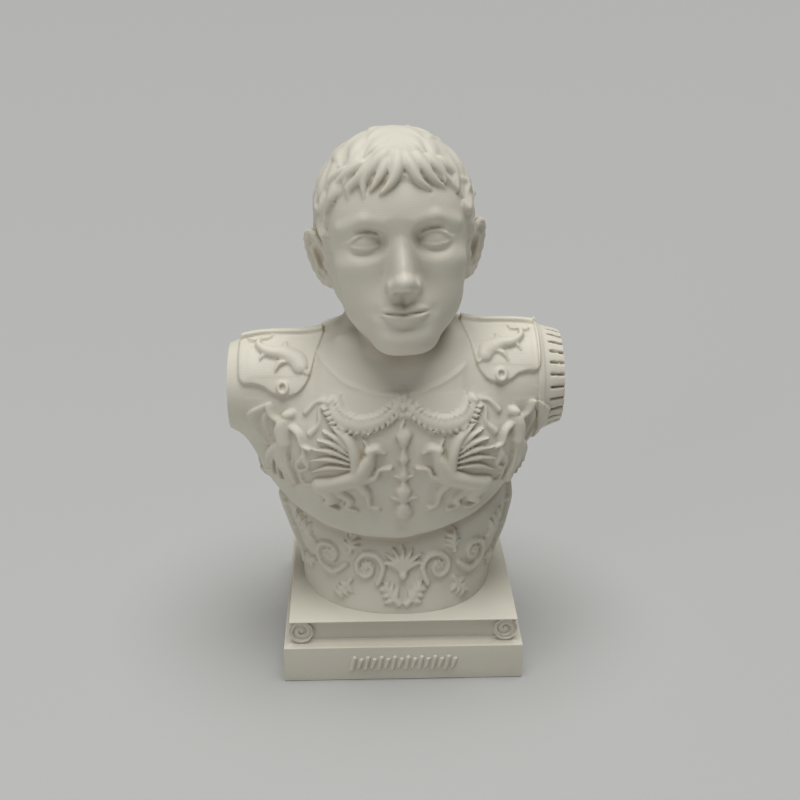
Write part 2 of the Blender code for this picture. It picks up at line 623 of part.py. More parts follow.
class Relief:
    """Raised modelling on points (s, z): s runs around the torso, z is up."""

    def __init__(self, s, z):
        self.s = s
        self.z = z
        self.height = np.zeros_like(s)
        self.mirror = 1.0
        self.shift = (0.0, 0.0)
        self.size = 1.0

    def near(self, low, high):
        return np.nonzero((self.s > low[0]) & (self.s < high[0]) & (self.z > low[1]) & (self.z < high[1]))[0]

    def limb(self, points, sizes, rise, count=4):
        """A rounded form along a curve; sizes are its half widths from end to end."""
        path = smooth_path(points, count) * self.size
        path = np.array(self.shift) + path * (self.mirror, 1.0)
        halves = self.size * np.interp(np.linspace(0, 1, len(path)), np.linspace(0, 1, len(sizes)), sizes)
        widest = halves.max() + SOFT_EDGE
        near = self.near(path.min(0) - widest, path.max(0) + widest)
        best = np.zeros(len(near))
        for (a, b), (r0, r1) in zip(zip(path, path[1:]), zip(halves, halves[1:])):
            s, z = self.s[near] - a[0], self.z[near] - a[1]
            way = b - a
            share = np.clip((s * way[0] + z * way[1]) / max(way @ way, 1e-9), 0.0, 1.0)
            gap = np.hypot(s - share * way[0], z - share * way[1])
            half = np.maximum(r0 + (r1 - r0) * share, 0.05) + SOFT_EDGE
            body = np.clip(1.0 - (gap / half) ** 2, 0.0, 1.0) ** ROUNDNESS
            best = np.maximum(best, body * (0.45 + 0.55 * np.minimum(half / 1.8, 1.0)))
        self.height[near] = -smooth_min(-self.height[near], -rise * best, 0.3)

    def dot(self, centre, radius, rise):
        self.limb([centre, (centre[0] + 0.02, centre[1])], [radius, radius], rise)

    def leaf(self, base, tip, width, bend, rise):
        """A pointed leaf with a vein, whose middle is bent sideways."""
        way = np.array(tip, float) - base
        across = np.array((-way[1], way[0]))
        middle = np.array(base) + 0.5 * way + bend * across
        self.limb([base, middle, tip], [0.35 * width, width, 0.12 * width], rise)


def rosette(relief, centre, radius):
    for n in range(8):
        angle = math.radians(45 * n + 22)
        way = np.array((math.cos(angle), math.sin(angle)))
        base = np.array(centre) + 0.2 * radius * way
        relief.leaf(base, base + 0.8 * radius * way, 0.3 * radius, 0.1, 1.2)
    relief.dot(centre, 0.3 * radius, 2.0)


def festoon(relief):
    """A leafy swag from the rosette to a knotted ribbon near the shoulder."""
    swag = smooth_path(((1.5, 62.0), (6.0, 58.4), (11.5, 57.0), (17.0, 58.6), (20.6, 62.2)), 4)
    relief.limb(swag, (0.9, 1.7, 2.2, 1.7, 0.9), 1.5, 1)
    for n in range(1, len(swag) - 1):
        way = swag[n + 1] - swag[n - 1]
        way = way / np.linalg.norm(way)
        for hand in (-1, 1):
            out = np.array((-way[1], way[0])) * hand
            base = swag[n] + 0.2 * out
            relief.leaf(base, base + 1.5 * way + 2.2 * out, 0.75, 0.15 * hand, 2.1)
    relief.limb(((20.4, 62.0), (22.8, 60.0), (22.0, 56.6), (23.8, 53.6)), (0.8, 0.7, 0.6, 1.0), 1.2)
    relief.limb(((20.6, 62.4), (24.4, 61.6), (26.4, 58.6)), (0.8, 0.6, 0.9), 1.2)
    relief.dot((20.6, 62.4), 1.3, 1.9)


def griffin(relief):
    """A winged beast that steps towards the middle, one forepaw on the candlestick."""
    relief.limb(((20.5, 38.6), (16.5, 40.4), (12.2, 42.0)), (3.2, 2.5, 3.0), 2.3)
    relief.limb(((20.2, 38.4), (18.6, 35.2), (20.4, 33.2), (18.0, 31.8)), (3.0, 1.9, 1.0, 0.8), 2.4)
    relief.limb(((17.0, 37.4), (14.2, 34.8), (15.4, 32.6), (12.8, 31.6)), (1.7, 1.2, 0.8, 0.7), 1.5)
    relief.limb(((11.8, 42.4), (9.8, 45.6), (8.8, 48.6), (8.4, 50.2)), (2.9, 2.2, 1.5, 1.4), 2.3)
    relief.limb(((8.8, 50.4), (6.9, 50.8), (5.0, 49.4)), (1.6, 1.2, 0.4), 2.2)
    relief.limb(((9.2, 51.0), (10.6, 53.4)), (0.7, 0.2), 1.7)
    relief.limb(((10.6, 41.8), (7.6, 42.4), (6.4, 44.8), (3.6, 45.0)), (1.6, 1.0, 0.7, 0.8), 1.9)
    relief.limb(((11.4, 40.4), (9.6, 37.0), (9.2, 33.6), (7.0, 32.6)), (1.7, 1.1, 0.7, 0.8), 1.8)
    tail = ((22.6, 38.8), (25.6, 38.4), (26.4, 41.8), (24.0, 43.8), (25.2, 46.6))
    relief.limb(tail, (0.8, 0.6, 0.5, 0.6, 1.1), 1.4)
    relief.limb(((12.0, 43.6), (12.4, 49.0), (14.4, 53.6), (17.6, 56.0)), (1.4, 1.5, 1.2, 0.5), 2.2)
    for n in range(7):
        turn = math.radians(-14 + 12 * n)
        base = np.array((12.8 + 0.35 * n, 45.2 + 1.35 * n))
        tip = base + (11.0 - 0.75 * n) * np.array((math.cos(turn), math.sin(turn)))
        relief.leaf(base, tip, 1.0, 0.12, 2.0)


def candlestick(relief):
    """A turned stand with leaves at its foot and a flame."""
    stem = [(0, 31.5 + 1.6 * n) for n in range(15)]
    relief.limb(stem, (2.6, 1.9, 1.0, 1.7, 2.2, 1.2, 0.8, 1.4, 1.0, 0.8, 1.5, 1.0, 0.8, 1.6, 2.4), 1.8, 1)
    for hand in (-1, 1):
        relief.leaf((0, 34), (hand * 3.8, 36.0), 0.8, 0.2 * hand, 1.6)
        relief.leaf((0, 40.5), (hand * 2.8, 42.6), 0.6, 0.2 * hand, 1.6)
    relief.limb(((0, 54.4), (-0.7, 56.2), (0.4, 58.4)), (1.2, 0.9, 0.2), 1.7)


def dancer(relief):
    """A small draped figure under a blown veil, at the side of the chest."""
    relief.dot((30.4, 57.2), 1.5, 2.2)
    relief.limb(((30.6, 55.4), (31.0, 52.4), (30.4, 49.0)), (1.5, 2.2, 1.8), 2.4)
    relief.limb(((30.4, 49.4), (31.2, 44.4), (29.2, 39.6), (29.6, 36.8)), (2.0, 2.0, 1.3, 1.0), 2.2)
    relief.limb(((31.2, 48.6), (34.2, 44.6), (35.2, 40.4)), (1.8, 1.5, 1.0), 2.0)
    relief.limb(((29.8, 54.6), (26.8, 53.0), (25.4, 50.0), (23.4, 49.4)), (1.0, 0.9, 0.7, 0.6), 1.8)
    relief.limb(((31.4, 54.6), (33.8, 56.0), (35.0, 59.0)), (1.0, 0.8, 0.6), 1.8)
    relief.limb(((35.0, 59.0), (37.4, 55.6), (37.6, 50.6), (35.8, 46.8)), (0.6, 1.0, 0.8, 0.4), 1.3)
    relief.limb(((34.4, 58.4), (35.6, 54.2), (34.8, 50.4)), (0.5, 0.7, 0.4), 1.1)
    relief.limb(((25.4, 50.0), (25.0, 46.8), (27.0, 43.8), (26.0, 40.6)), (0.5, 0.9, 0.7, 0.4), 1.4)
    for n in range(5):
        top = (29.6 + 0.8 * n, 48.4 - 0.6 * n)
        foot = (27.8 + 2.1 * n, 37.4 + 0.7 * abs(n - 1))
        relief.limb((top, ((top[0] + foot[0]) / 2 + 0.5, (top[1] + foot[1]) / 2), foot), (0.4, 0.5, 0.6), 2.9)


def acanthus(relief, base, way, size, lean):
    """A leaf with side lobes on both hands of a bent rib."""
    way = np.array(way, float) / np.linalg.norm(way)
    out = np.array((-way[1], way[0]))
    rib = [np.array(base) + size * (t * way + lean * t * t * out) for t in (0.0, 0.35, 0.7, 1.0)]
    relief.limb(rib, (0.13 * size, 0.12 * size, 0.1 * size, 0.04 * size), 1.6)
    for n in range(3):
        t = 0.12 + 0.24 * n
        root = np.array(base) + size * (t * way + lean * t * t * out)
        for hand in (-1, 1):
            tip = root + size * (0.30 * way + hand * (0.40 - 0.07 * n) * out)
            relief.leaf(root, tip, 0.135 * size, -0.16 * hand, 1.5)


def scroll(relief):
    """Acanthus scrolls from the middle of the waist out to the sides."""
    relief.limb(spiral((10.8, 12.6), 5.4, -130, -1.3, 10), (1.0, 0.9, 0.7), 1.6, 2)
    relief.limb(spiral((23.0, 14.6), 5.8, 200, 1.3, 10), (1.0, 0.9, 0.7), 1.6, 2)
    rosette(relief, (10.8, 12.6), 2.3)
    rosette(relief, (23.0, 14.6), 2.5)
    acanthus(relief, (1.0, 3.0), (1.0, 0.9), 7.5, 0.2)
    acanthus(relief, (15.6, 8.6), (0.5, -1.0), 7.0, 0.25)
    acanthus(relief, (16.2, 16.6), (-0.2, 1.0), 6.5, -0.25)
    acanthus(relief, (29.4, 10.6), (1.0, -0.6), 8.0, 0.2)
    acanthus(relief, (28.6, 17.6), (0.9, 0.8), 9.0, 0.2)


def flank(relief):
    """Heavier leaves at the side, which show in the outline."""
    for n in range(4):
        acanthus(relief, (37.0 + 1.3 * n, 11.0 + 7.0 * n), (0.9, 0.35), 8.0, 0.15)
    relief.limb(((36.5, 7.0), (39.0, 16.0), (41.6, 26.0), (42.6, 36.0)), (1.0, 1.7, 1.6, 0.6), 1.8)


def palmette(relief, base, size):
    for n in range(-3, 4):
        angle = math.radians(90 - 26 * n)
        tip = (base[0] + 0.9 * size * math.cos(angle), base[1] + size * (0.25 + 0.8 * math.sin(angle)))
        relief.leaf(base, tip, 0.13 * size, 0.06 * n, 1.7)
    relief.dot(base, 0.18 * size, 2.1)


def back_ornament(relief):
    """Plainer scrolls for the hidden side."""
    relief.limb(spiral((96, 44), 6.0, 160, 1.2, 10), (1.0, 0.8, 0.6), 1.2, 2)
    acanthus(relief, (90.0, 44.0), (-0.8, 0.7), 9.0, 0.2)
    acanthus(relief, (89.0, 38.0), (-1.0, -0.3), 9.0, -0.2)
    acanthus(relief, (104.0, 30.0), (-0.6, -1.0), 10.0, 0.2)


def breastplate_relief(clay):
    index, x, y, z = clay.skin((-56, -40, 0.5), (54, 40, 72))
    angle = np.arctan2(x, -(y - 6.0))
    relief = Relief(TORSO_RADIUS * angle, z)
    for mirror in (-1.0, 1.0):
        relief.mirror = mirror
        festoon(relief)
        griffin(relief)
        dancer(relief)
        scroll(relief)
        flank(relief)
        back_ornament(relief)
    relief.mirror = 1.0
    candlestick(relief)
    rosette(relief, (0.0, 61.6), 3.6)
    palmette(relief, (0.0, 11.0), 8.0)
    clay.raise_skin(index, relief.height * smooth_step(z, 0.5, 3.0))


# A shoulder flap laid flat: (outwards, up) from the middle of its round end, for the left one.
FLAP_EDGE = (
    (-10.8, 23), (-10.2, 17), (-8.4, 9.4), (-7.2, 4.3), (-4.6, 1.0), (-1.0, 0),
    (2.2, 0.5), (4.6, 2.0), (7.2, 2.7), (10.2, 3.2), (11.0, 8), (11.0, 23),
)
FLAP_TOP = 21.6  # middle of the bar along the shoulder's crest
ARM_AXIS = 2.0  # y of the arms' middle
ARM_RADIUS = 16.6


def inside_outline(points, x, z):
    """Signed depth inside a closed outline: above zero is inside."""
    points = np.array(points, float)
    nearest = np.full(len(x), 99.0)
    within = np.zeros(len(x), bool)
    for a, b in zip(points, np.roll(points, -1, axis=0)):
        way = b - a
        share = np.clip(((x - a[0]) * way[0] + (z - a[1]) * way[1]) / max(way @ way, 1e-9), 0.0, 1.0)
        nearest = np.minimum(nearest, np.hypot(x - a[0] - share * way[0], z - a[1] - share * way[1]))
        crossed = (a[1] > z) != (b[1] > z)
        at = a[0] + (z - a[1]) * way[0] / (way[1] if abs(way[1]) > 1e-9 else 1e-9)
        within ^= crossed & (x < at)
    return np.where(within, nearest, -nearest)


def dolphin(relief):
    """A diving sea beast: round head, arched back with a fin, raised forked tail."""
    back = ((-4.6, 7.0), (-3.4, 9.2), (-0.2, 10.8), (3.2, 11.2), (5.8, 13.6), (5.6, 16.6))
    relief.limb(back, (2.1, 2.5, 2.2, 1.6, 0.9, 0.5), 1.8)
    relief.limb(((-5.0, 6.2), (-6.6, 4.9)), (0.9, 0.4), 1.4)
    relief.leaf((5.6, 16.2), (2.4, 18.4), 0.9, 0.2, 1.3)
    relief.leaf((5.6, 16.2), (8.6, 17.6), 0.9, -0.2, 1.3)
    relief.leaf((-2.6, 11.4), (-1.0, 15.0), 0.9, -0.25, 1.3)
    relief.leaf((-2.4, 8.2), (1.6, 5.4), 0.9, 0.25, 1.5)
    relief.leaf((2.6, 10.4), (5.4, 8.6), 0.7, 0.25, 1.3)


def flap(clay, side, middle, tip, axis, size):
    """A shoulder flap laid around the arm: a tongue with a ring stud, a beast and a bar on the crest."""
    index, x, y, z = clay.skin((-56, -40, 52), (54, 14, 94))
    start = math.atan2(tip - axis, math.sqrt(ARM_RADIUS**2 - (tip - axis) ** 2))
    along = ARM_RADIUS * (np.arctan2(z - axis, ARM_AXIS - y) - start)
    outline = smooth_path(FLAP_EDGE, 3) * size
    depth = inside_outline(outline, (x - middle) * side, along)
    plate = FLAP_RISE * smooth_step(depth, -0.15, 0.45)
    relief = Relief(x, along)
    relief.shift = (middle, 0.0)
    relief.mirror = side
    relief.size = size
    dolphin(relief)
    ring = np.abs(np.hypot((x - middle) * side + 0.4 * size, along - 2.0 * size) - 1.25)
    stud = 0.9 * np.clip(1.0 - (ring / 0.7) ** 2, 0.0, 1.0)
    bar = 1.3 * smooth_step(1.0 - np.abs(along - FLAP_TOP) / 1.5, 0.0, 0.5) * smooth_step(depth, 0.0, 0.5)
    height = plate + np.maximum(relief.height, np.maximum(stud, bar)) * (depth > 0.0)
    clay.raise_skin(index, height)


def sleeve(clay):
    """The left sleeve: a raised hem, a plain band, then strips with slits between them."""
    index, x, y, z = clay.skin((33, -30, 32), (54, 30, 92))
    around = np.arctan2(-(y - 1.5), z - 59.0)
    strip = np.abs(((around / STRIP_STEP) % 1.0) - 0.5)
    slit = smooth_step(strip, 0.38, 0.46) * smooth_step(x, 40.6, 41.1)
    hem = 0.7 * smooth_step(x, 37.2, 37.6) - 0.45 * smooth_step(x, 38.9, 39.3)
    clay.raise_skin(index, hem - 1.1 * slit)


def bust_mesh():
    frame = head_frame()
    clay = Clay((-56, -38, -BELOW_FOOT - 2), (54, 34, 136), GRID_STEP)
    torso(clay)
    neckline(clay)
    breastplate_relief(clay)
    flap(clay, -1, -32.8, 61.0, 57.8, 1.1)
    flap(clay, 1, 27.2, 64.2, 59.8, 1.0)
    sleeve(clay)
    head = Clay((-56, -38, -BELOW_FOOT - 2), (54, 34, 136), GRID_STEP)
    for shape in (skull, nose_and_brow, mouth, eyes, hair, ears):
        shape(head, frame)
    clay.value = smooth_min(clay.value, head.value, 2.0)
    # clay that an arm cut or the foot takes off stays closed inside the grid
    for axis, last in ((0, 0), (0, -1), (1, 0), (1, -1), (2, 0), (2, -1)):
        wall = [slice(None)] * 3
        wall[axis] = last
        clay.value[tuple(wall)] = FAR
    return surface_net(clay)


def material(name, colour, roughness):
    made = bpy.data.materials.new(name)
    made.use_nodes = True
    shader = made.node_tree.nodes["Principled BSDF"]
    shader.inputs["Base Color"].default_value = colour
    shader.inputs["Roughness"].default_value = roughness
    shader.inputs["Metallic"].default_value = 0.0
    return made


def new_object(name, mesh):
    made = bpy.data.objects.new(name, mesh)
    bpy.context.scene.collection.objects.link(made)
    return made


def flat_cut(bm, point, normal):
    """Takes off what lies on the normal's side of a plane and closes the hole."""
    geometry = bm.verts[:] + bm.edges[:] + bm.faces[:]
    bmesh.ops.bisect_plane(bm, geom=geometry, dist=1e-7, plane_co=point, plane_no=normal, clear_outer=True)
    rim = [edge for edge in bm.edges if edge.is_boundary]
    bmesh.ops.holes_fill(bm, edges=rim)


def largest_body(bm):
    """Removes loose crumbs, keeping the body with the most vertices."""
    left = set(bm.verts)
    bodies = []
    while left:
        start = left.pop()
        body, queue = {start}, [start]
        while queue:
            for edge in queue.pop().link_edges:
                for vertex in edge.verts:
                    if vertex in left:
                        left.discard(vertex)
                        body.add(vertex)
                        queue.append(vertex)
        bodies.append(body)
    bodies.sort(key=len)
    for body in bodies[:-1]:
        bmesh.ops.delete(bm, geom=list(body), context="VERTS")


def keep_face(made, points):
    """A vertex group that lets the thinning take less from the face than from the rest."""
    frame = head_frame()
    across, deep, up = to_head(frame, points[:, 0], points[:, 1], points[:, 2])
    face = (deep < -13.0) & (np.abs(across) < 15.0) & (up > -28.0) & (up < 8.0)
    group = made.vertex_groups.new(name="thinned")
    group.add(np.nonzero(~face)[0].tolist(), 1.0, "REPLACE")
    group.add(np.nonzero(face)[0].tolist(), 0.5, "REPLACE")
    return group.name


def bust():
    points, quads = bust_mesh()
    mesh = bpy.data.meshes.new("bust")
    mesh.from_pydata(points.tolist(), [], quads.tolist())
    made = new_object("bust", mesh)
    thin = made.modifiers.new("thin", "DECIMATE")
    thin.ratio = BUST_TRIANGLES / (2.0 * len(quads))
    thin.use_collapse_triangulate = True
    thin.vertex_group = keep_face(made, points)
    thin.vertex_group_factor = FACE_CARE
    bpy.context.view_layer.update()
    thinned = bpy.data.meshes.new_from_object(made.evaluated_get(bpy.context.evaluated_depsgraph_get()))
    made.modifiers.clear()
    bm = bmesh.new()
    bm.from_mesh(thinned)
    flat_cut(bm, (0, 0, 0), (0, 0, -1))
    flat_cut(bm, (RIGHT_ARM_CUT, 0, 0), (-1, 0, 0))
    flat_cut(bm, (LEFT_ARM_CUT, 0, 0), (1, 0, 0))
    largest_body(bm)
    scale = BUST_HEIGHT / max(vertex.co.z for vertex in bm.verts)
    bmesh.ops.scale(bm, vec=(scale, scale, scale), verts=bm.verts)
    bmesh.ops.triangulate(bm, faces=bm.faces)
    bmesh.ops.recalc_face_normals(bm, faces=bm.faces)
    made.data = thinned
    bm.to_mesh(thinned)
    bm.free()
    thinned.materials.append(material("bust_plastic", OFF_WHITE, 0.62))
    made.location = (0.0, 0.0, PLINTH_HEIGHT + CLEARANCE)
    return made


def stack(rings):
    """A closed square stack through (width, depth, level) rings."""
    bm = bmesh.new()
    loops = []
    for width, depth, level in rings:
        corners = ((-1, -1), (1, -1), (1, 1), (-1, 1))
        loops.append([bm.verts.new((0.5 * width * i, 0.5 * depth * j, level)) for i, j in corners])
    for below, above in zip(loops, loops[1:]):
        for n in range(4):
            bm.faces.new((below[n], below[(n + 1) % 4], above[(n + 1) % 4], above[n]))
    bm.faces.new(loops[0][::-1])
    bm.faces.new(loops[-1])
    return bm


def plinth_rings():
    """Slab, hollow moulding, recessed band and thin plate, from below."""
    foot = SLAB_HEIGHT
    band_foot = foot + MOULDING_HEIGHT
    plate_foot = band_foot + BAND_HEIGHT
    inner = PLATE_INSET + BAND_INSET
    steps = [(0.0, 0.0), (0.0, foot - SLAB_EDGE), (SLAB_EDGE, foot)]
    hollow = PLATE_INSET - SLAB_EDGE
    for n in range(5):
        angle = 0.5 * math.pi * n / 4
        steps.append((2.0 * SLAB_EDGE + hollow * math.sin(angle) - SLAB_EDGE * math.sin(angle),
                      foot + MOULDING_HEIGHT * (1.0 - math.cos(angle))))
    steps += [(inner, band_foot), (inner, plate_foot)]
    steps += [(PLATE_INSET, plate_foot), (PLATE_INSET, PLINTH_HEIGHT)]
    return [(PLINTH_WIDTH - 2.0 * inset, PLINTH_DEPTH - 2.0 * inset, level) for inset, level in steps]


def join(target, tool):
    """Unites a tool object into the target and removes it."""
    union = target.modifiers.new("join", "BOOLEAN")
    union.operation = "UNION"
    union.object = tool
    bpy.context.view_layer.update()
    made = bpy.data.meshes.new_from_object(target.evaluated_get(bpy.context.evaluated_depsgraph_get()))
    target.modifiers.clear()
    old = target.data
    target.data = made
    bpy.data.meshes.remove(old)
    bpy.data.objects.remove(tool)


def roll():
    """A roll from front to back, with a hollow scroll face at each end."""
    half = 0.5 * PLINTH_DEPTH - PLATE_INSET
    face = ((1.0, 0.0), (0.72, 0.0), (0.60, 0.16), (0.44, 0.20), (0.32, 0.08), (0.14, 0.34), (0.0, 0.34))
    profile = [(radius * ROLL_RADIUS, half - sink * ROLL_RADIUS) for radius, sink in face]
    profile = profile[::-1] + [(radius, -level) for radius, level in profile]
    bm = bmesh.new()
    sides = 20
    rings = []
    for radius, level in profile:
        if radius == 0.0:
            rings.append([bm.verts.new((0.0, level, 0.0))])
            continue
        turn = [2.0 * math.pi * n / sides for n in range(sides)]
        rings.append([bm.verts.new((radius * math.cos(a), level, radius * math.sin(a))) for a in turn])
    for first, last in [(rings[n], rings[n + 1]) for n in range(len(rings) - 1)]:
        for n in range(sides):
            after = (n + 1) % sides
            if len(first) > 1 and len(last) > 1:
                bm.faces.new((first[n], first[after], last[after], last[n]))
            elif len(first) == 1:
                bm.faces.new((first[0], last[after], last[n]))
            else:
                bm.faces.new((first[n], first[after], last[0]))
    bmesh.ops.recalc_face_normals(bm, faces=bm.faces)
    return bm


def as_object(name, bm, place=(0.0, 0.0, 0.0)):
    mesh = bpy.data.meshes.new(name)
    bm.to_mesh(mesh)
    bm.free()
    made = new_object(name, mesh)
    made.location = place
    return made


def stroke_block(place, length):
    """One slanted raised stroke, sunk into the slab's front so that it joins."""
    lean = 0.22
    bm = bmesh.new()
    front, back = -0.5 * PLINTH_DEPTH - STROKE_RISE, -0.5 * PLINTH_DEPTH + STROKE_RISE
    corners = []
    for depth, narrow in ((back, 1.0), (front, 0.6)):
        half, tall = 0.5 * STROKE_WIDTH * narrow, 0.5 * length - 0.5 * STROKE_WIDTH * (1.0 - narrow)
        for i, j in ((-1, -1), (1, -1), (1, 1), (-1, 1)):
            corners.append(bm.verts.new((place[0] + i * half + lean * j * tall, depth, place[1] + j * tall)))
    for face in ((0, 1, 2, 3), (7, 6, 5, 4), (0, 4, 5, 1), (1, 5, 6, 2), (2, 6, 7, 3), (3, 7, 4, 0)):
        bm.faces.new([corners[n] for n in face])
    bmesh.ops.recalc_face_normals(bm, faces=bm.faces)
    return bm


def plinth():
    made = as_object("plinth", stack(plinth_rings()))
    roll_x = 0.5 * PLINTH_WIDTH - PLATE_INSET - ROLL_RADIUS
    roll_z = PLINTH_HEIGHT - ROLL_DROP - ROLL_RADIUS
    for side in (-1, 1):
        join(made, as_object("roll", roll(), (side * roll_x, 0.0, roll_z)))
    for n in range(STROKE_COUNT):
        across = (n - 0.5 * (STROKE_COUNT - 1)) * STROKE_PITCH
        length = STROKE_LENGTH * (1.0, 0.72)[n % 2]
        join(made, as_object("stroke", stroke_block((across, 0.5 * SLAB_HEIGHT), length)))
    made.data.materials.clear()
    made.data.materials.append(material("plinth_plastic", OFF_WHITE, 0.62))
    return made


def main():
    for old in list(bpy.data.objects):
        bpy.data.objects.remove(old)
    plinth()
    bust()


main()
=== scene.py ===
"""Finish and fine carving of a printed souvenir bust on its square plinth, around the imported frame."""

import functools
import itertools
import math

import bmesh
import bpy
import numpy as np
from mathutils import Matrix, Vector


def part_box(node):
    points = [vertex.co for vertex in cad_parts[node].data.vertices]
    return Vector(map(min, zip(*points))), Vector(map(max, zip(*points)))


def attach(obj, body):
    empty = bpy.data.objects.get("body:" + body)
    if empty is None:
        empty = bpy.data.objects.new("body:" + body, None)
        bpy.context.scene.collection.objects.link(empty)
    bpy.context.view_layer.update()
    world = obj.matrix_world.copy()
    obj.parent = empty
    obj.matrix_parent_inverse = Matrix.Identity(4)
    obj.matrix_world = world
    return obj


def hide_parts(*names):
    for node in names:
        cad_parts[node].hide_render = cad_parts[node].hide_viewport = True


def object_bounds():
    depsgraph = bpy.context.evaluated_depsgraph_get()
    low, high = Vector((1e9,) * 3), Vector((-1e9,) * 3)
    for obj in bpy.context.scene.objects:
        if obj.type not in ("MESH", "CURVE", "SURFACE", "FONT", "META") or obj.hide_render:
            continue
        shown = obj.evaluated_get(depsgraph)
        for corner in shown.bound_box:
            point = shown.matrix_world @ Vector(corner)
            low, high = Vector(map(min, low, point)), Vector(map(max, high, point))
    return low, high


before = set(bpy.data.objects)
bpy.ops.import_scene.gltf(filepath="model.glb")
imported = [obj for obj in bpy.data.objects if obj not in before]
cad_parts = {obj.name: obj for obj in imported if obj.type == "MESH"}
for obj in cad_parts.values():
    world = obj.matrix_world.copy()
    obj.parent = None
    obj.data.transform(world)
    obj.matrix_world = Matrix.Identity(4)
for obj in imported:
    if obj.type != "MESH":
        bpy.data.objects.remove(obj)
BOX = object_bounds()
bust_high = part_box("bust")[1]
plinth_low, plinth_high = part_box("plinth")

# Sizes in metres: the outer ones from the frame, the others as the part has them.
PLINTH_WIDTH = plinth_high[0] - plinth_low[0]
PLINTH_DEPTH = PLINTH_WIDTH
PLINTH_HEIGHT = plinth_high[2]
SLAB_HEIGHT = 0.0109
PLATE_INSET = 0.0016
BAND_INSET = 0.0012
MOULDING_HEIGHT = 0.0015
FOOT_BEVEL = 0.0002
EDGE_BEVEL = 0.0003
STEP_RUN = 0.0003  # small ledge at the band's foot
LIP = 0.0004  # the plate's edge, thinner than the plate
ROLL_RADIUS = 0.0033
ROLL_DROP = 0.0001  # top of the rolls, below the plate's top
ROLL_TURNS = 2.0  # windings that show in a roll's end
LEDGE_CLIMB = 0.86  # share of a winding over which its ledge deepens
ROLL_SIDES = 72
ROLL_RINGS = 22
STROKE_COUNT = 16
STROKE_PITCH = 0.0019
STROKE_WIDTH = 0.0011
STROKE_LENGTH = 0.0050
STROKE_RISE = 0.0007
STROKE_LEAN = 0.22  # sideways for each unit up
STROKE_SHORT = 0.72  # every second stroke, as a share of the others
TOUCH = 0.00002  # the bust's foot over the plate: the printed bust has no gap there
BUST_FOOT = PLINTH_HEIGHT + TOUCH
BUST_HEIGHT = bust_high[2] - BUST_FOOT
BUST_TRIANGLES = 190000
# Angles past which an edge is shaded sharp.
SHARP_CARVING = math.radians(42.0)
SHARP_MOULDING = math.radians(30.0)
SHARP_STROKE = math.radians(50.0)

# The bust is modelled in millimetres of the real one, from its foot at z = 0, with the face towards -y.
GRID_STEP = 0.38  # of the clay's grid
BELOW_FOOT = 3.0  # clay under the foot, cut off flat at the end
RIGHT_ARM_CUT = -47.9
LEFT_ARM_CUT = 44.9
FAR = 9.0  # the clay's distance where there is no form
HEAD_CENTRE = (-1.2, -1.5, 101.6)
HEAD_TURNS = (-12.0, -3.0, 2.0)
HAIR_RADII = (21.0, 26.0, 22.5)
HAIR_CENTRE = (0.0, 3.0, 7.6)
EYE_DEPTH = 15.4  # middle of the eyeballs, in front of the head's own
TORSO_RADIUS = 34.0  # turns an angle around the torso into a length on it
SOFT_EDGE = 0.05  # widens every form of the relief
ROUNDNESS = 0.62  # of the relief's section, where lower is fuller
FLAP_RISE = 1.1
STRIP_STEP = math.radians(13.0)  # from one sleeve strip to the next
CORNERS = tuple(itertools.product((0, 1), repeat=3))  # of a grid cell


def smooth_step(value, low, high):
    share = np.clip((value - low) / (high - low), 0.0, 1.0)
    return share * share * (3.0 - 2.0 * share)


def smooth_min(a, b, blend):
    if blend <= 0.0:
        return np.minimum(a, b)
    share = np.maximum(blend - np.abs(a - b), 0.0) / blend
    return np.minimum(a, b) - share * share * blend * 0.25


class Form:
    """A signed distance with the box that holds its surface."""

    def __init__(self, distance, low, high):
        self.distance = distance
        self.low = np.array(low, float)
        self.high = np.array(high, float)


def turned(angles):
    """The matrix of a turn about x, then y, then z, in degrees."""
    ax, ay, az = (math.radians(angle) for angle in angles)
    about_x = np.array([[1, 0, 0], [0, math.cos(ax), -math.sin(ax)], [0, math.sin(ax), math.cos(ax)]])
    about_y = np.array([[math.cos(ay), 0, math.sin(ay)], [0, 1, 0], [-math.sin(ay), 0, math.cos(ay)]])
    about_z = np.array([[math.cos(az), -math.sin(az), 0], [math.sin(az), math.cos(az), 0], [0, 0, 1]])
    return about_z @ about_y @ about_x


def ellipsoid(centre, radii, angles=(0, 0, 0), axes=None):
    """An egg; axes are a (centre, matrix) for numbers that aren't in the bust's own axes."""
    centre = np.array(centre, float)
    matrix = turned(angles)
    if axes is not None:
        centre = axes[0] + axes[1] @ centre
        matrix = axes[1] @ matrix

    def distance(x, y, z):
        x, y, z = x - centre[0], y - centre[1], z - centre[2]
        near = 0.0
        steep = 0.0
        for axis in range(3):
            along = x * matrix[0, axis] + y * matrix[1, axis] + z * matrix[2, axis]
            near = near + (along / radii[axis]) ** 2
            steep = steep + (along / radii[axis] ** 2) ** 2
        near = np.sqrt(near)
        return near * (near - 1.0) / np.maximum(np.sqrt(steep), 1e-6)

    half = np.sqrt((matrix**2) @ (np.array(radii, float) ** 2))
    return Form(distance, centre - half, centre + half)


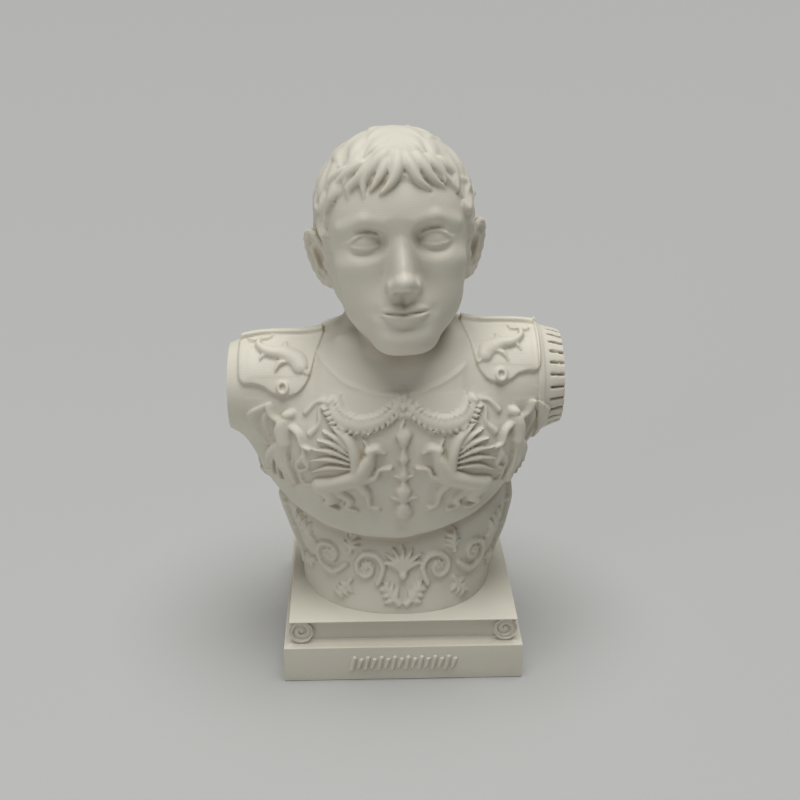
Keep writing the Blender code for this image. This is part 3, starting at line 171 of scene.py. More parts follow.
def rod(start, end, radius, end_radius=None, axes=None):
    """A round-ended rod that may taper."""
    a, b = np.array(start, float), np.array(end, float)
    if axes is not None:
        a, b = axes[0] + axes[1] @ a, axes[0] + axes[1] @ b
    last = radius if end_radius is None else end_radius
    way = b - a
    length2 = float(way @ way)

    def distance(x, y, z):
        x, y, z = x - a[0], y - a[1], z - a[2]
        share = np.clip((x * way[0] + y * way[1] + z * way[2]) / length2, 0.0, 1.0)
        gap = np.sqrt((x - share * way[0]) ** 2 + (y - share * way[1]) ** 2 + (z - share * way[2]) ** 2)
        return gap - radius - (last - radius) * share

    widest = max(radius, last)
    return Form(distance, np.minimum(a, b) - widest, np.maximum(a, b) + widest)


# The head's place and turn, with eggs and rods whose numbers are in its own axes.
HEAD = (np.array(HEAD_CENTRE), turned(HEAD_TURNS))
head_egg = functools.partial(ellipsoid, axes=HEAD)
head_rod = functools.partial(rod, axes=HEAD)


class Clay:
    """Signed distances on a regular grid: below zero is inside."""

    def __init__(self, low, high, step):
        self.step = step
        self.low = np.array(low, float)
        counts = [int(math.ceil((b - a) / step)) + 1 for a, b in zip(low, high)]
        self.axes = [(self.low[i] + step * np.arange(counts[i])).astype(np.float32) for i in range(3)]
        self.value = np.full(counts, FAR, np.float32)

    def window(self, low, high):
        """The part of the grid inside a box, with its coordinates."""
        part = tuple(
            slice(int(np.searchsorted(axis, a)), int(np.searchsorted(axis, b)))
            for axis, a, b in zip(self.axes, low, high)
        )
        x, y, z = (axis[cut] for axis, cut in zip(self.axes, part))
        return part, x[:, None, None], y[None, :, None], z[None, None, :]

    def around(self, form, blend):
        """The part of the grid that a form can change, with its coordinates."""
        margin = max(blend, 2.0 * self.step) + self.step
        return self.window(form.low - margin, form.high + margin)

    def add(self, form, blend=0.0):
        part, x, y, z = self.around(form, blend)
        self.value[part] = smooth_min(self.value[part], form.distance(x, y, z), blend)

    def cut(self, form, blend=0.0):
        part, x, y, z = self.around(form, blend)
        self.value[part] = -smooth_min(-self.value[part], form.distance(x, y, z), blend)

    def skin(self, low, high, reach=3.5):
        """The grid points near the surface in a box: their indices and coordinates."""
        part, x, y, z = self.window(low, high)
        near = np.nonzero(np.abs(self.value[part]) < reach)
        index = tuple(found + cut.start for found, cut in zip(near, part))
        return index, *(axis[found] for axis, found in zip(self.axes, index))

    def raise_skin(self, index, height):
        """Moves the surface outwards by a height, also where blends have stretched the distances."""
        slope = 0.0
        for axis, count in enumerate(self.value.shape):
            ends = []
            for shift in (-1, 1):
                moved = list(index)
                moved[axis] = np.clip(index[axis] + shift, 0, count - 1)
                ends.append(self.value[tuple(moved)])
            slope = slope + ((ends[1] - ends[0]) / (2.0 * self.step)) ** 2
        self.value[index] -= (height * np.minimum(np.sqrt(slope), 1.0)).astype(np.float32)


def sound_cells():
    """For each of the 256 ways that a cell's corners lie in or out: do both sets hang together?"""
    sound = np.zeros(256, bool)
    for case in range(256):
        whole = True
        for wanted in (0, 1):
            members = [c for n, c in enumerate(CORNERS) if (case >> n) & 1 == wanted]
            reached = members[:1]
            for corner in reached:
                for other in members:
                    if other not in reached and sum(abs(p - q) for p, q in zip(corner, other)) == 1:
                        reached.append(other)
            whole = whole and len(reached) == len(members)
        sound[case] = whole
    return sound


def corner_views(grid):
    """The eight corner values of every cell, as views of the grid."""
    ends = (slice(0, -1), slice(1, None))
    return [grid[ends[i], ends[j], ends[k]] for i, j, k in CORNERS]


def mend_cells(value):
    """Fills the corners that would make the surface touch itself along an edge or at a point."""
    sound = sound_cells()
    for _ in range(12):
        inside = corner_views(value < 0.0)
        case = np.zeros(inside[0].shape, np.uint8)
        for n, view in enumerate(inside):
            case |= view.astype(np.uint8) << n
        bad = np.argwhere(~sound[case])
        if len(bad) == 0:
            break
        for cell in bad:
            corner = value[cell[0] : cell[0] + 2, cell[1] : cell[1] + 2, cell[2] : cell[2] + 2]
            outside = np.where(corner < 0.0, np.inf, corner)
            corner[np.unravel_index(np.argmin(outside), (2, 2, 2))] = -0.01


def surface_net(clay):
    """The surface as vertices, one in each cell that it crosses, and quads."""
    value = clay.value
    mend_cells(value)
    inside = corner_views(value < 0.0)
    count = sum(view.astype(np.int8) for view in inside)
    cells = np.nonzero((count > 0) & (count < 8))
    number = np.full(count.shape, -1, np.int32)
    number[cells] = np.arange(len(cells[0]), dtype=np.int32)
    total = np.zeros((len(cells[0]), 3))
    crossings = np.zeros(len(cells[0]))
    for first in CORNERS:
        for axis in range(3):
            if first[axis] == 1:
                continue
            start = tuple(cell + o for cell, o in zip(cells, first))
            end = tuple(index + (n == axis) for n, index in enumerate(start))
            a, b = value[start], value[end]
            crossed = (a < 0.0) != (b < 0.0)
            share = np.where(crossed, a / np.where(crossed, a - b, 1.0), 0.0)
            for n in range(3):
                total[:, n] += np.where(crossed, first[n] + (share if n == axis else 0.0), 0.0)
            crossings += crossed
    points = clay.low + clay.step * (np.stack(cells, 1) + total / crossings[:, None])
    quads = []
    for axis in range(3):
        u, v = (axis + 1) % 3, (axis + 2) % 3
        low = [slice(1, -1)] * 3
        low[axis] = slice(0, -1)
        high = list(low)
        high[axis] = slice(1, None)
        a, b = value[tuple(low)] < 0.0, value[tuple(high)] < 0.0
        for entering in (False, True):
            edge = np.nonzero((~a & b) if entering else (a & ~b))
            base = [edge[n] + (0 if n == axis else 1) for n in range(3)]
            ring = []
            for du, dv in ((0, 0), (-1, 0), (-1, -1), (0, -1)):
                index = list(base)
                index[u] = base[u] + du
                index[v] = base[v] + dv
                ring.append(number[tuple(index)])
            quads.append(np.stack(ring[::-1] if entering else ring, 1))
    return points, np.concatenate(quads)


def level_curve(keys, level, step=0.5, width=13):
    """A smooth curve through a few (level, size) keys, at the given levels."""
    at, size = zip(*keys)
    fine = np.arange(at[0] - 16.0 * step, at[-1] + 16.0 * step, step)
    drawn = np.interp(fine, at, size)
    window = np.hanning(width)
    padded = np.pad(drawn, width // 2, mode="edge")
    return np.interp(level, fine, np.convolve(padded, window / window.sum(), mode="valid"))


def smooth_path(points, count):
    """A curve through the points (Catmull-Rom), with count steps between each two."""
    points = np.array(points, float)
    if len(points) < 3:
        return points
    padded = np.vstack([2 * points[0] - points[1], points, 2 * points[-1] - points[-2]])
    curve = []
    for n in range(len(points) - 1):
        p0, p1, p2, p3 = padded[n : n + 4]
        for t in np.arange(count) / count:
            curve.append(
                0.5 * (2 * p1 + (p2 - p0) * t + (2 * p0 - 5 * p1 + 4 * p2 - p3) * t**2
                       + (3 * p1 - p0 - 3 * p2 + p3) * t**3)
            )
    curve.append(points[-1])
    return np.array(curve)


# Half widths and depths of the torso at a few heights, (height, size).
TORSO_RIGHT = (
    (0, 28.8), (10, 28.8), (17, 31.2), (25, 33.8), (34, 35.8),
    (43, 39.8), (55, 39.8), (64, 35), (71, 22), (77, 10), (83, 3),
)
TORSO_LEFT = (
    (0, 26.4), (10, 27.2), (17, 29.6), (25, 31.4), (34, 30.6), (40, 32.0),
    (47, 35.2), (56, 36.8), (65, 35), (72, 23), (78, 9), (84, 3),
)
TORSO_FRONT = (
    (0, 28.6), (7, 26.2), (15, 24.4), (24, 23.2), (38, 24.0),
    (52, 23.2), (61, 20.5), (69, 16), (78, 10), (85, 3),
)
TORSO_BACK = ((0, 26), (10, 24), (24, 23), (42, 25), (58, 25.5), (68, 22), (76, 15), (85, 3))
# Heights at places across the front, (across, height).
CHEST_LINE = (
    (-60, 42), (-38, 34), (-30, 28.5), (-21, 24.5), (-12, 22.8), (0, 22.4),
    (10, 24.6), (19, 27.6), (26, 31.5), (38, 42), (60, 48),
)
NECKLINE = (
    (-60, 92), (-40, 82), (-22, 71), (-15.5, 67), (-9, 65.2), (-1, 64.6),
    (5, 65.4), (11.4, 67.6), (19, 71.4), (36, 82), (56, 92),
)
SHELL = 3.0  # the breastplate's chest, proud of the waist
COLLAR = 0.6  # the breastplate's edge, proud of the chest inside the neckline


def torso_distance(x, y, z):
    level = np.ravel(z)
    sides = (TORSO_RIGHT, TORSO_LEFT, TORSO_FRONT, TORSO_BACK)
    right, left, front, back = (level_curve(keys, level).reshape(z.shape) for keys in sides)
    across = np.abs(x) / np.where(x < 0.0, right, left)
    deep = np.abs(y) / np.where(y < 0.0, front, back)
    ring = (across**2.25 + deep**2.25) ** (1.0 / 2.25)
    reach = np.sqrt(x * x + y * y)
    return reach * (1.0 - 1.0 / np.maximum(ring, 1e-3)) * 0.92


def chest_gap(x, y, z):
    """Height over the curved line under the breast."""
    line = level_curve(CHEST_LINE, x)
    return z - line + np.where(y > 0.0, 3.0 * smooth_step(y, 0.0, 20.0), 0.0)


def shell_distance(x, y, z):
    """The breastplate's chest, above the line under the breast."""
    return -smooth_min(-(torso_distance(x, y, z) - SHELL), chest_gap(x, y, z), 1.6)


def torso(clay):
    low, high = (-60, -40, -BELOW_FOOT), (60, 40, 88)
    clay.add(Form(torso_distance, low, high))
    clay.add(Form(shell_distance, low, high), 1.0)
    clay.add(ellipsoid((-34, 1.5, 57.8), (24, 16.4, 14.6)), 5.0)
    clay.add(ellipsoid((31, 1.5, 59.8), (26, 16.4, 15.0)), 5.0)
    for side in (-1, 1):
        clay.add(ellipsoid((side * 15.5, -15.5, 46.5), (16, 11.0, 14.5), (0, 0, side * 14)), 5.0)
        clay.add(ellipsoid((side * 16, 17, 56), (14, 9.5, 15)), 6.0)
        clay.add(rod((side * 8 - 1.5, 4, 69.6), (side * 31 - 1.0, 3, 62.8 + 1.8 * side), 8.0, 7.8), 4.0)
    neck(clay)
    index, x, y, z = clay.skin((-56, -40, 12), (54, 24, 60))
    hollow = np.exp(-(((chest_gap(x, y, z) + 1.5) / 1.7) ** 2)) * (1.0 - smooth_step(y, 2.0, 14.0))
    clay.raise_skin(index, -0.8 * hollow)


def neck(clay):
    clay.add(rod((-2.4, 3.0, 66), (-2.6, 4.2, 95), 12.9, 12.2), 5.0)
    for side in (-1, 1):
        clay.add(rod((side * 10.5 - 2, 2.5, 92), (side * 3.6 - 1.8, -12.0, 73), 3.0, 2.0), 4.0)
        clay.add(rod((side * 4.4 - 1.6, -11.4, 73.0), (side * 15 - 1.5, -8.0, 74.2), 1.8, 1.4), 5.0)
    clay.add(ellipsoid((-2.0, -11.4, 83), (3.0, 2.4, 4.0)), 4.0)


def neckline(clay):
    """The breastplate's edge around the throat."""
    index, x, y, z = clay.skin((-56, -40, 48), (54, 40, 94))
    edge = level_curve(NECKLINE, x, 0.5, 9) + np.where(y > 0.0, 9.0 * smooth_step(y, 0.0, 14.0) - 1.0, 0.0)
    shown = smooth_step(z, 50.0, 60.0) * smooth_step(x, -24.0, -21.5) * (1.0 - smooth_step(x, 15.5, 18.0))
    gap = edge - z
    roll = 0.35 * np.exp(-(((gap - 0.5) / 0.6) ** 2))
    clay.raise_skin(index, shown * (COLLAR * smooth_step(gap, -0.4, 0.4) + roll))


def to_head(x, y, z):
    """Grid points in the head's own axes."""
    parts = (x - HEAD[0][0], y - HEAD[0][1], z - HEAD[0][2])
    return [sum(parts[n] * HEAD[1][n, axis] for n in range(3)) for axis in range(3)]


def skull(clay):
    """The head without features: eyes at half its height, chin at -30, crown at 30."""
    clay.add(head_egg((0, 3.2, 7.5), (20.7, 24.8, 21.2)), 1.0)
    clay.add(head_egg((0, -5.5, -8.0), (16.4, 15.2, 20.4)), 7.0)
    clay.add(head_egg((0, -8.5, 4.0), (17.6, 13.2, 13.5)), 5.0)
    clay.add(head_egg((0, -17.0, -25.0), (6.0, 4.9, 4.4)), 4.5)
    for side in (-1, 1):
        clay.add(head_rod((side * 12.6, 1.5, -12.5), (side * 4.4, -14.0, -24.6), 3.8, 4.2), 5.0)
        clay.add(head_rod((side * 14.8, 2, -3), (side * 13.0, 1.5, -12.5), 4.0, 3.6), 4.0)
        clay.add(head_egg((side * 11.4, -14.8, -5.6), (5.6, 4.4, 3.6), (0, 0, side * 28)), 4.0)
        clay.add(head_egg((side * 9.2, -12.4, -13.4), (6.2, 5.6, 8.0), (0, 0, side * 20)), 5.0)


# How far the nose stands out, and half its width, at heights in the head's axes.
NOSE_OUT = (
    (-14.6, 0.6), (-13.4, 2.6), (-12.4, 6.2), (-11.2, 8.0), (-9.6, 8.4), (-6, 7.0),
    (-2, 4.9), (1.5, 3.3), (4.5, 2.6), (6.5, 0.8), (8.5, 0.15),
)
NOSE_HALF = ((-14.6, 1.6), (-12.6, 3.2), (-10.4, 3.9), (-8, 3.7), (-4, 3.4), (0, 3.2), (3, 3.6), (7, 5.2))


def nose_distance(x, y, z):
    across, deep, up = to_head(x, y, z)
    out = level_curve(NOSE_OUT, up, 0.25, 9)
    half = level_curve(NOSE_HALF, up, 0.25, 9)
    forward = np.maximum(-19.0 - deep, 0.0) / out
    ring = (np.abs(across / half) ** 1.6 + forward**1.6) ** (1.0 / 1.6)
    return (ring - 1.0) * np.minimum(out, half) * 0.85


def nose_and_brow(clay):
    for side in (-1, 1):
        clay.cut(head_egg((side * 8.9, -24.0, 0.2), (6.4, 6.6, 4.4)), 2.6)
        clay.add(head_rod((side * 3.4, -20.6, 4.8), (side * 8.8, -19.7, 5.8), 1.3, 0.8), 2.2)
        clay.add(head_rod((side * 8.8, -19.7, 5.8), (side * 14.6, -15.9, 3.8), 0.8, 1.0), 2.2)
    box = head_egg((0, -22, -4), (6, 8, 13))
    clay.add(Form(nose_distance, box.low, box.high), 1.8)
    clay.add(head_egg((0, -25.0, -10.5), (2.3, 2.7, 2.1)), 1.6)
    for side in (-1, 1):
        clay.add(head_egg((side * 2.9, -21.4, -11.5), (1.2, 2.6, 1.6), (0, 0, side * 14)), 2.3)
        clay.cut(head_egg((side * 1.8, -23.6, -13.6), (1.0, 1.9, 1.0)), 0.5)


def mouth(clay):
    clay.add(head_egg((0, -15.7, -18.4), (8.6, 5.6, 6.8)), 4.5)
    centre = HEAD[0] + HEAD[1] @ np.array((0.0, -20.0, -19.0))
    index, x, y, z = clay.skin(centre - (11, 8, 9), centre + (11, 8, 9))
    across, deep, up = to_head(x, y, z)
    share = np.clip(np.abs(across) / 7.4, 0.0, 1.0)
    seam = -18.2 - 0.2 * np.exp(-((across / 1.6) ** 2)) + 0.3 * share**2
    tall_up = 2.5 * (1.0 - share**2) - 0.5 * np.exp(-((across / 0.9) ** 2)) + 0.05
    tall_low = 3.1 * (1.0 - share**1.8) + 0.05
    rise_up = np.clip((up - seam) / tall_up, 0.0, 2.0)
    rise_low = np.clip((seam - up) / tall_low, 0.0, 2.0)
    lip = np.where(up > seam, (1.05 - 0.45 * rise_up) * (1.0 - smooth_step(rise_up, 0.8, 1.25)), 0.0)
    lip = lip + np.where(up <= seam, 1.25 * np.clip(1.0 - ((rise_low - 0.4) / 0.66) ** 2, 0.0, 1.0), 0.0)
    height = lip * smooth_step(1.0 - share, 0.0, 0.5)
    height = height - 0.85 * np.exp(-(((up - seam) / 0.42) ** 2)) * smooth_step(1.0 - share, -0.02, 0.4)
    height = height - 0.35 * np.exp(-((np.abs(across) - 7.2) ** 2 + (up - seam) ** 2) / 2.4)
    height = height - 0.7 * np.exp(-(((up + 22.4) / 1.3) ** 2) - (across / 4.6) ** 2)
    height = height - 0.4 * np.exp(-((across / 0.9) ** 2)) * smooth_step(up, -17.0, -16.0)
    clay.raise_skin(index, height * (deep < -12.0))


def eyes(clay):
    """Each eyeball with two lids that leave an almond between them."""
    for side in (-1, 1):
        middle = np.array([side * 8.7, -EYE_DEPTH, 0.1])
        inner = head_egg(middle, (6.2, 5.4, 5.4))

        def lidded(x, y, z, middle=middle, side=side):
            across, deep, up = (value - m for value, m in zip(to_head(x, y, z), middle))
            across = across * side
            share = np.clip(np.abs(across) / 4.3, 0.0, 1.0)
            upper = 1.9 * (1.0 - share**2.2) - 0.05 * across
            lower = -1.25 * (1.0 - share**2.0) - 0.05 * across
            open_by = np.minimum(upper - up, up - lower)
            lid = np.where(up > 0.0, 0.62, 0.42) * (1.0 - smooth_step(open_by, -0.25, 0.25))
            lid = lid * (1.0 - 0.6 * smooth_step(share, 0.75, 1.0))
            crease = 0.45 * np.exp(-(((up - upper - 1.25) / 0.4) ** 2))
            squash = np.where(up > 0.0, 1.0, 1.22)
            return np.sqrt((0.80 * across) ** 2 + deep**2 + (squash * up) ** 2) - 4.5 - lid + crease

        clay.add(Form(lidded, inner.low, inner.high), 0.6)


def ears(clay):
    """A flat shell with a rolled rim, a hollow and a lobe, standing off behind the jaw."""
    for side in (-1, 1):
        turn = turned((-10, side * 14, side * -30))
        centre = np.array((side * 20.4, 4.2, -4.2))

        def place(out, back, up, turn=turn, centre=centre, side=side):
            return centre + turn @ np.array((side * out, back, up))

        angles = (-10, side * 14, side * -30)
        clay.add(head_egg(centre, (1.5, 4.1, 7.4), angles), 1.2)
        clay.add(head_egg(place(-0.9, -2.2, -1.0), (2.2, 2.4, 5.0), angles), 1.6)
        turns = [math.radians(a) for a in range(150, -91, -24)]
        rim = [place(0.9, 4.3 * math.cos(a), 7.4 * math.sin(a)) for a in turns]
        for first, last in zip(rim, rim[1:]):
            clay.add(head_rod(first, last, 0.95, 0.95), 0.7)
        clay.add(head_egg(place(0.5, -0.4, -7.0), (1.2, 1.9, 2.2), angles), 0.9)
        clay.cut(head_egg(place(1.8, -0.6, -0.6), (2.2, 2.6, 4.4), angles), 0.7)
        clay.add(head_rod(place(0.9, 1.6, 3.6), place(1.0, 2.1, -2.6), 0.7, 0.7), 0.8)
        clay.add(head_egg(place(0.7, -3.0, -2.4), (1.3, 1.0, 1.6), angles), 0.8)


def hairline(azimuth):
    """Height of the hairline in the head's axes: azimuth 0 is the middle of the face, pi the nape."""
    keys = (
        (0, 15), (0.55, 14.5), (0.85, 11), (1.05, 3), (1.2, -3.5),
        (1.38, 3.5), (1.7, 4.5), (2.0, -7), (3.2, -15),
    )
    return np.interp(np.abs(azimuth), *zip(*keys))


def lock(away, root, direction, length, width, curl, rise):
    """Heights of a comma lock over unit directions away from the hair's middle."""
    spread = 23.5
    normal = root / np.linalg.norm(root)
    along = direction - normal * (direction @ normal)
    along = along / np.linalg.norm(along)
    side = np.cross(normal, along)
    facing = away @ normal
    near = np.nonzero(facing > math.cos(1.3 * length / spread))[0]
    s = (away[near] @ along) * spread / length
    w = (away[near] @ side) * spread
    w = w - curl * length * s * np.abs(s)
    half = width * np.clip(1.0 - np.clip(s, 0.0, 1.0) ** 2.2, 0.0, 1.0) ** 0.8
    half = half * (0.6 + 0.4 * smooth_step(s, -0.2, 0.3))
    inside = (s > -0.25) & (s < 1.0) & (half > 0.05)
    across = np.where(inside, np.abs(w) / np.maximum(half, 0.05), 2.0)
    body = smooth_step(1.0 - across, 0.0, 0.75)
    swell = smooth_step(s, -0.25, 0.7) * (1.0 - 0.5 * smooth_step(s, 0.65, 1.0))
    groove = 1.0 - 0.22 * np.exp(-(((across - 0.45) / 0.12) ** 2))
    return near, rise * body * swell * groove


# Thick locks of the fringe and temples: radius, then (azimuth in degrees, height) from root to tip.
FRINGE = (
    (1.8, (-44, 18.6), (-56, 16), (-66, 13), (-63, 10)),
    (1.9, (-30, 20), (-41, 17.2), (-51, 14.2), (-50, 11.2)),
    (2.0, (-17, 20.5), (-27, 17.0), (-37, 13.6), (-37, 10.9)),
    (1.7, (-58, 14.6), (-69, 11.8), (-77, 8.6), (-72, 5.6)),
    (1.9, (42, 19.6), (48, 16.6), (56, 13.8), (67, 11.2)),
    (2.0, (30, 20.5), (35, 17.4), (41, 14.6), (51, 12.0)),
    (2.1, (19, 21.2), (23, 17.8), (28, 15), (38, 12.4)),
    (2.2, (9, 21.5), (12, 18), (16, 15), (25, 12.4)),
    (2.4, (3, 22), (0, 18), (-4, 15), (-13, 12.0)),
    (2.6, (-6, 22.5), (-16, 19.5), (-25, 15.8), (-25, 11.2)),
    (1.8, (-7, 21.5), (-10, 18.2), (-15, 15.4), (-20, 13.0)),
    (1.7, (60, 14.4), (71, 11.8), (78, 8.6), (73, 5.4)),
    (1.4, (-75, 7.0), (-80, 4.0), (-80, 0.6), (-76, -2.6)),
    (1.4, (75, 7.0), (80, 4.0), (80, 0.6), (76, -2.6)),
)


def tuft(clay, radius, keys):
    """One thick lock of three strands, half sunk into the hair, that narrows to a free tip."""
    for strand, thick, until in ((-0.5, 0.7, 0.78), (0.5, 0.7, 0.86), (0.0, 0.88, 1.0)):
        path = []
        for azimuth, up in smooth_path(keys, 6):
            ring = math.sqrt(1.0 - ((up - HAIR_CENTRE[2]) / HAIR_RADII[2]) ** 2)
            share = len(path) / (6.0 * (len(keys) - 1))
            turn = math.radians(azimuth) + strand * radius * (1.0 - share) / HAIR_RADII[0]
            out = np.array((HAIR_RADII[0] * math.sin(turn), -HAIR_RADII[1] * math.cos(turn), 0.0)) * ring
            sunk = 1.0 - 0.2 * radius / np.linalg.norm(out)
            path.append(np.array((0.0, HAIR_CENTRE[1], up)) + out * sunk)
        path = path[: int(until * len(path))] if until < 1.0 else path
        shares = [n / (len(path) - 1) for n in range(len(path))]
        sizes = [0.35 + (thick * radius - 0.35) * (1.0 - t**1.5) * smooth_step(t, -0.5, 0.35) for t in shares]
        for n in range(len(path) - 1):
            clay.add(head_rod(path[n], path[n + 1], sizes[n], sizes[n + 1]), 0.3)


def hair(clay):
    """Short comma locks in rings around the crown, with thick free locks over the brow."""
    low = HEAD[0] - (30, 34, 28)
    high = HEAD[0] + (30, 34, 34)
    index, x, y, z = clay.skin(low, high)
    world = np.stack([x, y, z], 1) - HEAD[0]
    local = world @ HEAD[1]
    azimuth = np.arctan2(local[:, 0], -local[:, 1])
    above = local[:, 2] - hairline(azimuth)
    away = (local - np.array(HAIR_CENTRE)) / np.array(HAIR_RADII)
    reach = np.linalg.norm(away, axis=1)
    away = away / reach[:, None]
    kept = smooth_step(above, -4.5, -0.5) * (1.0 - smooth_step(reach, 1.25, 1.35))
    height = 0.8 * smooth_step(above, -0.5, 1.5)
    whorl = np.array([0.08, 0.50, 0.86])
    whorl = whorl / np.linalg.norm(whorl)
    first = np.cross(whorl, (1.0, 0.0, 0.0))
    first = first / np.linalg.norm(first)
    second = np.cross(whorl, first)
    rng = np.random.default_rng(7)
    for ring in range(8):
        tilt = 0.16 + 0.27 * ring
        count = max(5, int(round(20 * math.sin(tilt))))
        for n in range(count):
            turn = 2.0 * math.pi * (n + 0.5 * (ring % 2) + rng.uniform(-0.18, 0.18)) / count
            out = first * math.cos(turn) + second * math.sin(turn)
            root = whorl * math.cos(tilt) + out * math.sin(tilt)
            point = root * np.array(HAIR_RADII) + np.array(HAIR_CENTRE)
            if point[2] < hairline(math.atan2(point[0], -point[1])) + 6.5:
                continue
            direction = out * math.cos(tilt) - whorl * math.sin(tilt)
            swing = rng.uniform(-0.35, 0.35)
            direction = direction + swing * np.cross(root, direction)
            curl = rng.choice((-1, 1)) * rng.uniform(0.25, 0.5)
            size = rng.uniform(0.9, 1.15)
            swell = 0.5 + 0.65 * smooth_step(tilt, 0.6, 1.5)
            near, rise = lock(away, root, direction, 9.6 * size, 3.6 * size, curl, swell)
            height[near] = np.maximum(height[near], rise + 0.75 * (rise > 0))
    clay.raise_skin(index, height * kept)
    for radius, *keys in FRINGE:
        tuft(clay, radius, keys)


def spiral(centre, radius, start, turns, count=18):
    """Points that run inwards; turns below zero runs clockwise."""
    points = []
    for share in np.linspace(0.0, 1.0, count):
        angle = math.radians(start + 360.0 * turns * share)
        reach = radius * (1.0 - 0.8 * share)
        points.append((centre[0] + reach * math.cos(angle), centre[1] + reach * math.sin(angle)))
    return points


class Relief:
    """Raised modelling on points (s, z): s runs around the torso, z is up."""

    def __init__(self, s, z):
        self.s = s
        self.z = z
        self.height = np.zeros_like(s)
        self.mirror = 1.0
        self.shift = (0.0, 0.0)
        self.size = 1.0

    def near(self, low, high):
        return np.nonzero((self.s > low[0]) & (self.s < high[0]) & (self.z > low[1]) & (self.z < high[1]))[0]

    def limb(self, points, sizes, rise, count=4):
        """A rounded form along a curve; sizes are its half widths from end to end."""
        path = smooth_path(points, count) * self.size
        path = np.array(self.shift) + path * (self.mirror, 1.0)
        halves = self.size * np.interp(np.linspace(0, 1, len(path)), np.linspace(0, 1, len(sizes)), sizes)
        widest = halves.max() + SOFT_EDGE
        near = self.near(path.min(0) - widest, path.max(0) + widest)
        best = np.zeros(len(near))
        for (a, b), (r0, r1) in zip(zip(path, path[1:]), zip(halves, halves[1:])):
            s, z = self.s[near] - a[0], self.z[near] - a[1]
            way = b - a
            share = np.clip((s * way[0] + z * way[1]) / max(way @ way, 1e-9), 0.0, 1.0)
            gap = np.hypot(s - share * way[0], z - share * way[1])
            half = np.maximum(r0 + (r1 - r0) * share, 0.05) + SOFT_EDGE
            body = np.clip(1.0 - (gap / half) ** 2, 0.0, 1.0) ** ROUNDNESS
            best = np.maximum(best, body * (0.45 + 0.55 * np.minimum(half / 1.8, 1.0)))
        self.height[near] = -smooth_min(-self.height[near], -rise * best, 0.3)

    def dot(self, centre, radius, rise):
        self.limb([centre, (centre[0] + 0.02, centre[1])], [radius, radius], rise)

    def leaf(self, base, tip, width, bend, rise):
        """A pointed leaf with a vein, whose middle is bent sideways."""
        way = np.array(tip, float) - base
        across = np.array((-way[1], way[0]))
        middle = np.array(base) + 0.5 * way + bend * across
        self.limb([base, middle, tip], [0.35 * width, width, 0.12 * width], rise)


def rosette(relief, centre, radius):
    for n in range(8):
        angle = math.radians(45 * n + 22)
        way = np.array((math.cos(angle), math.sin(angle)))
        base = np.array(centre) + 0.2 * radius * way
        relief.leaf(base, base + 0.8 * radius * way, 0.3 * radius, 0.1, 1.2)
    relief.dot(centre, 0.3 * radius, 2.0)


def festoon(relief):
    """A leafy swag from the rosette to a knotted ribbon near the shoulder."""
    swag = smooth_path(((1.5, 62.0), (6.0, 58.4), (11.5, 57.0), (17.0, 58.6), (20.6, 62.2)), 4)
    relief.limb(swag, (0.9, 1.7, 2.2, 1.7, 0.9), 1.5, 1)
    for n in range(1, len(swag) - 1):
        way = swag[n + 1] - swag[n - 1]
        way = way / np.linalg.norm(way)
        for hand in (-1, 1):
            out = np.array((-way[1], way[0])) * hand
            base = swag[n] + 0.2 * out
            relief.leaf(base, base + 1.5 * way + 2.2 * out, 0.75, 0.15 * hand, 2.1)
    relief.limb(((20.4, 62.0), (22.8, 60.0), (22.0, 56.6), (23.8, 53.6)), (0.8, 0.7, 0.6, 1.0), 1.2)
    relief.limb(((20.6, 62.4), (24.4, 61.6), (26.4, 58.6)), (0.8, 0.6, 0.9), 1.2)
    relief.dot((20.6, 62.4), 1.3, 1.9)


def griffin(relief):
    """A winged beast that steps towards the middle, one forepaw on the candlestick."""
    relief.limb(((20.5, 38.6), (16.5, 40.4), (12.2, 42.0)), (3.2, 2.5, 3.0), 2.3)
    relief.limb(((20.2, 38.4), (18.6, 35.2), (20.4, 33.2), (18.0, 31.8)), (3.0, 1.9, 1.0, 0.8), 2.4)
    relief.limb(((17.0, 37.4), (14.2, 34.8), (15.4, 32.6), (12.8, 31.6)), (1.7, 1.2, 0.8, 0.7), 1.5)
    relief.limb(((11.8, 42.4), (9.8, 45.6), (8.8, 48.6), (8.4, 50.2)), (2.9, 2.2, 1.5, 1.4), 2.3)
    relief.limb(((8.8, 50.4), (6.9, 50.8), (5.0, 49.4)), (1.6, 1.2, 0.4), 2.2)
    relief.limb(((9.2, 51.0), (10.6, 53.4)), (0.7, 0.2), 1.7)
    relief.limb(((10.6, 41.8), (7.6, 42.4), (6.4, 44.8), (3.6, 45.0)), (1.6, 1.0, 0.7, 0.8), 1.9)
    relief.limb(((11.4, 40.4), (9.6, 37.0), (9.2, 33.6), (7.0, 32.6)), (1.7, 1.1, 0.7, 0.8), 1.8)
    tail = ((22.6, 38.8), (25.6, 38.4), (26.4, 41.8), (24.0, 43.8), (25.2, 46.6))
    relief.limb(tail, (0.8, 0.6, 0.5, 0.6, 1.1), 1.4)
    relief.limb(((12.0, 43.6), (12.4, 49.0), (14.4, 53.6), (17.6, 56.0)), (1.4, 1.5, 1.2, 0.5), 2.2)
    for n in range(7):
        turn = math.radians(-14 + 12 * n)
        base = np.array((12.8 + 0.35 * n, 45.2 + 1.35 * n))
        tip = base + (11.0 - 0.75 * n) * np.array((math.cos(turn), math.sin(turn)))
        relief.leaf(base, tip, 1.0, 0.12, 2.0)


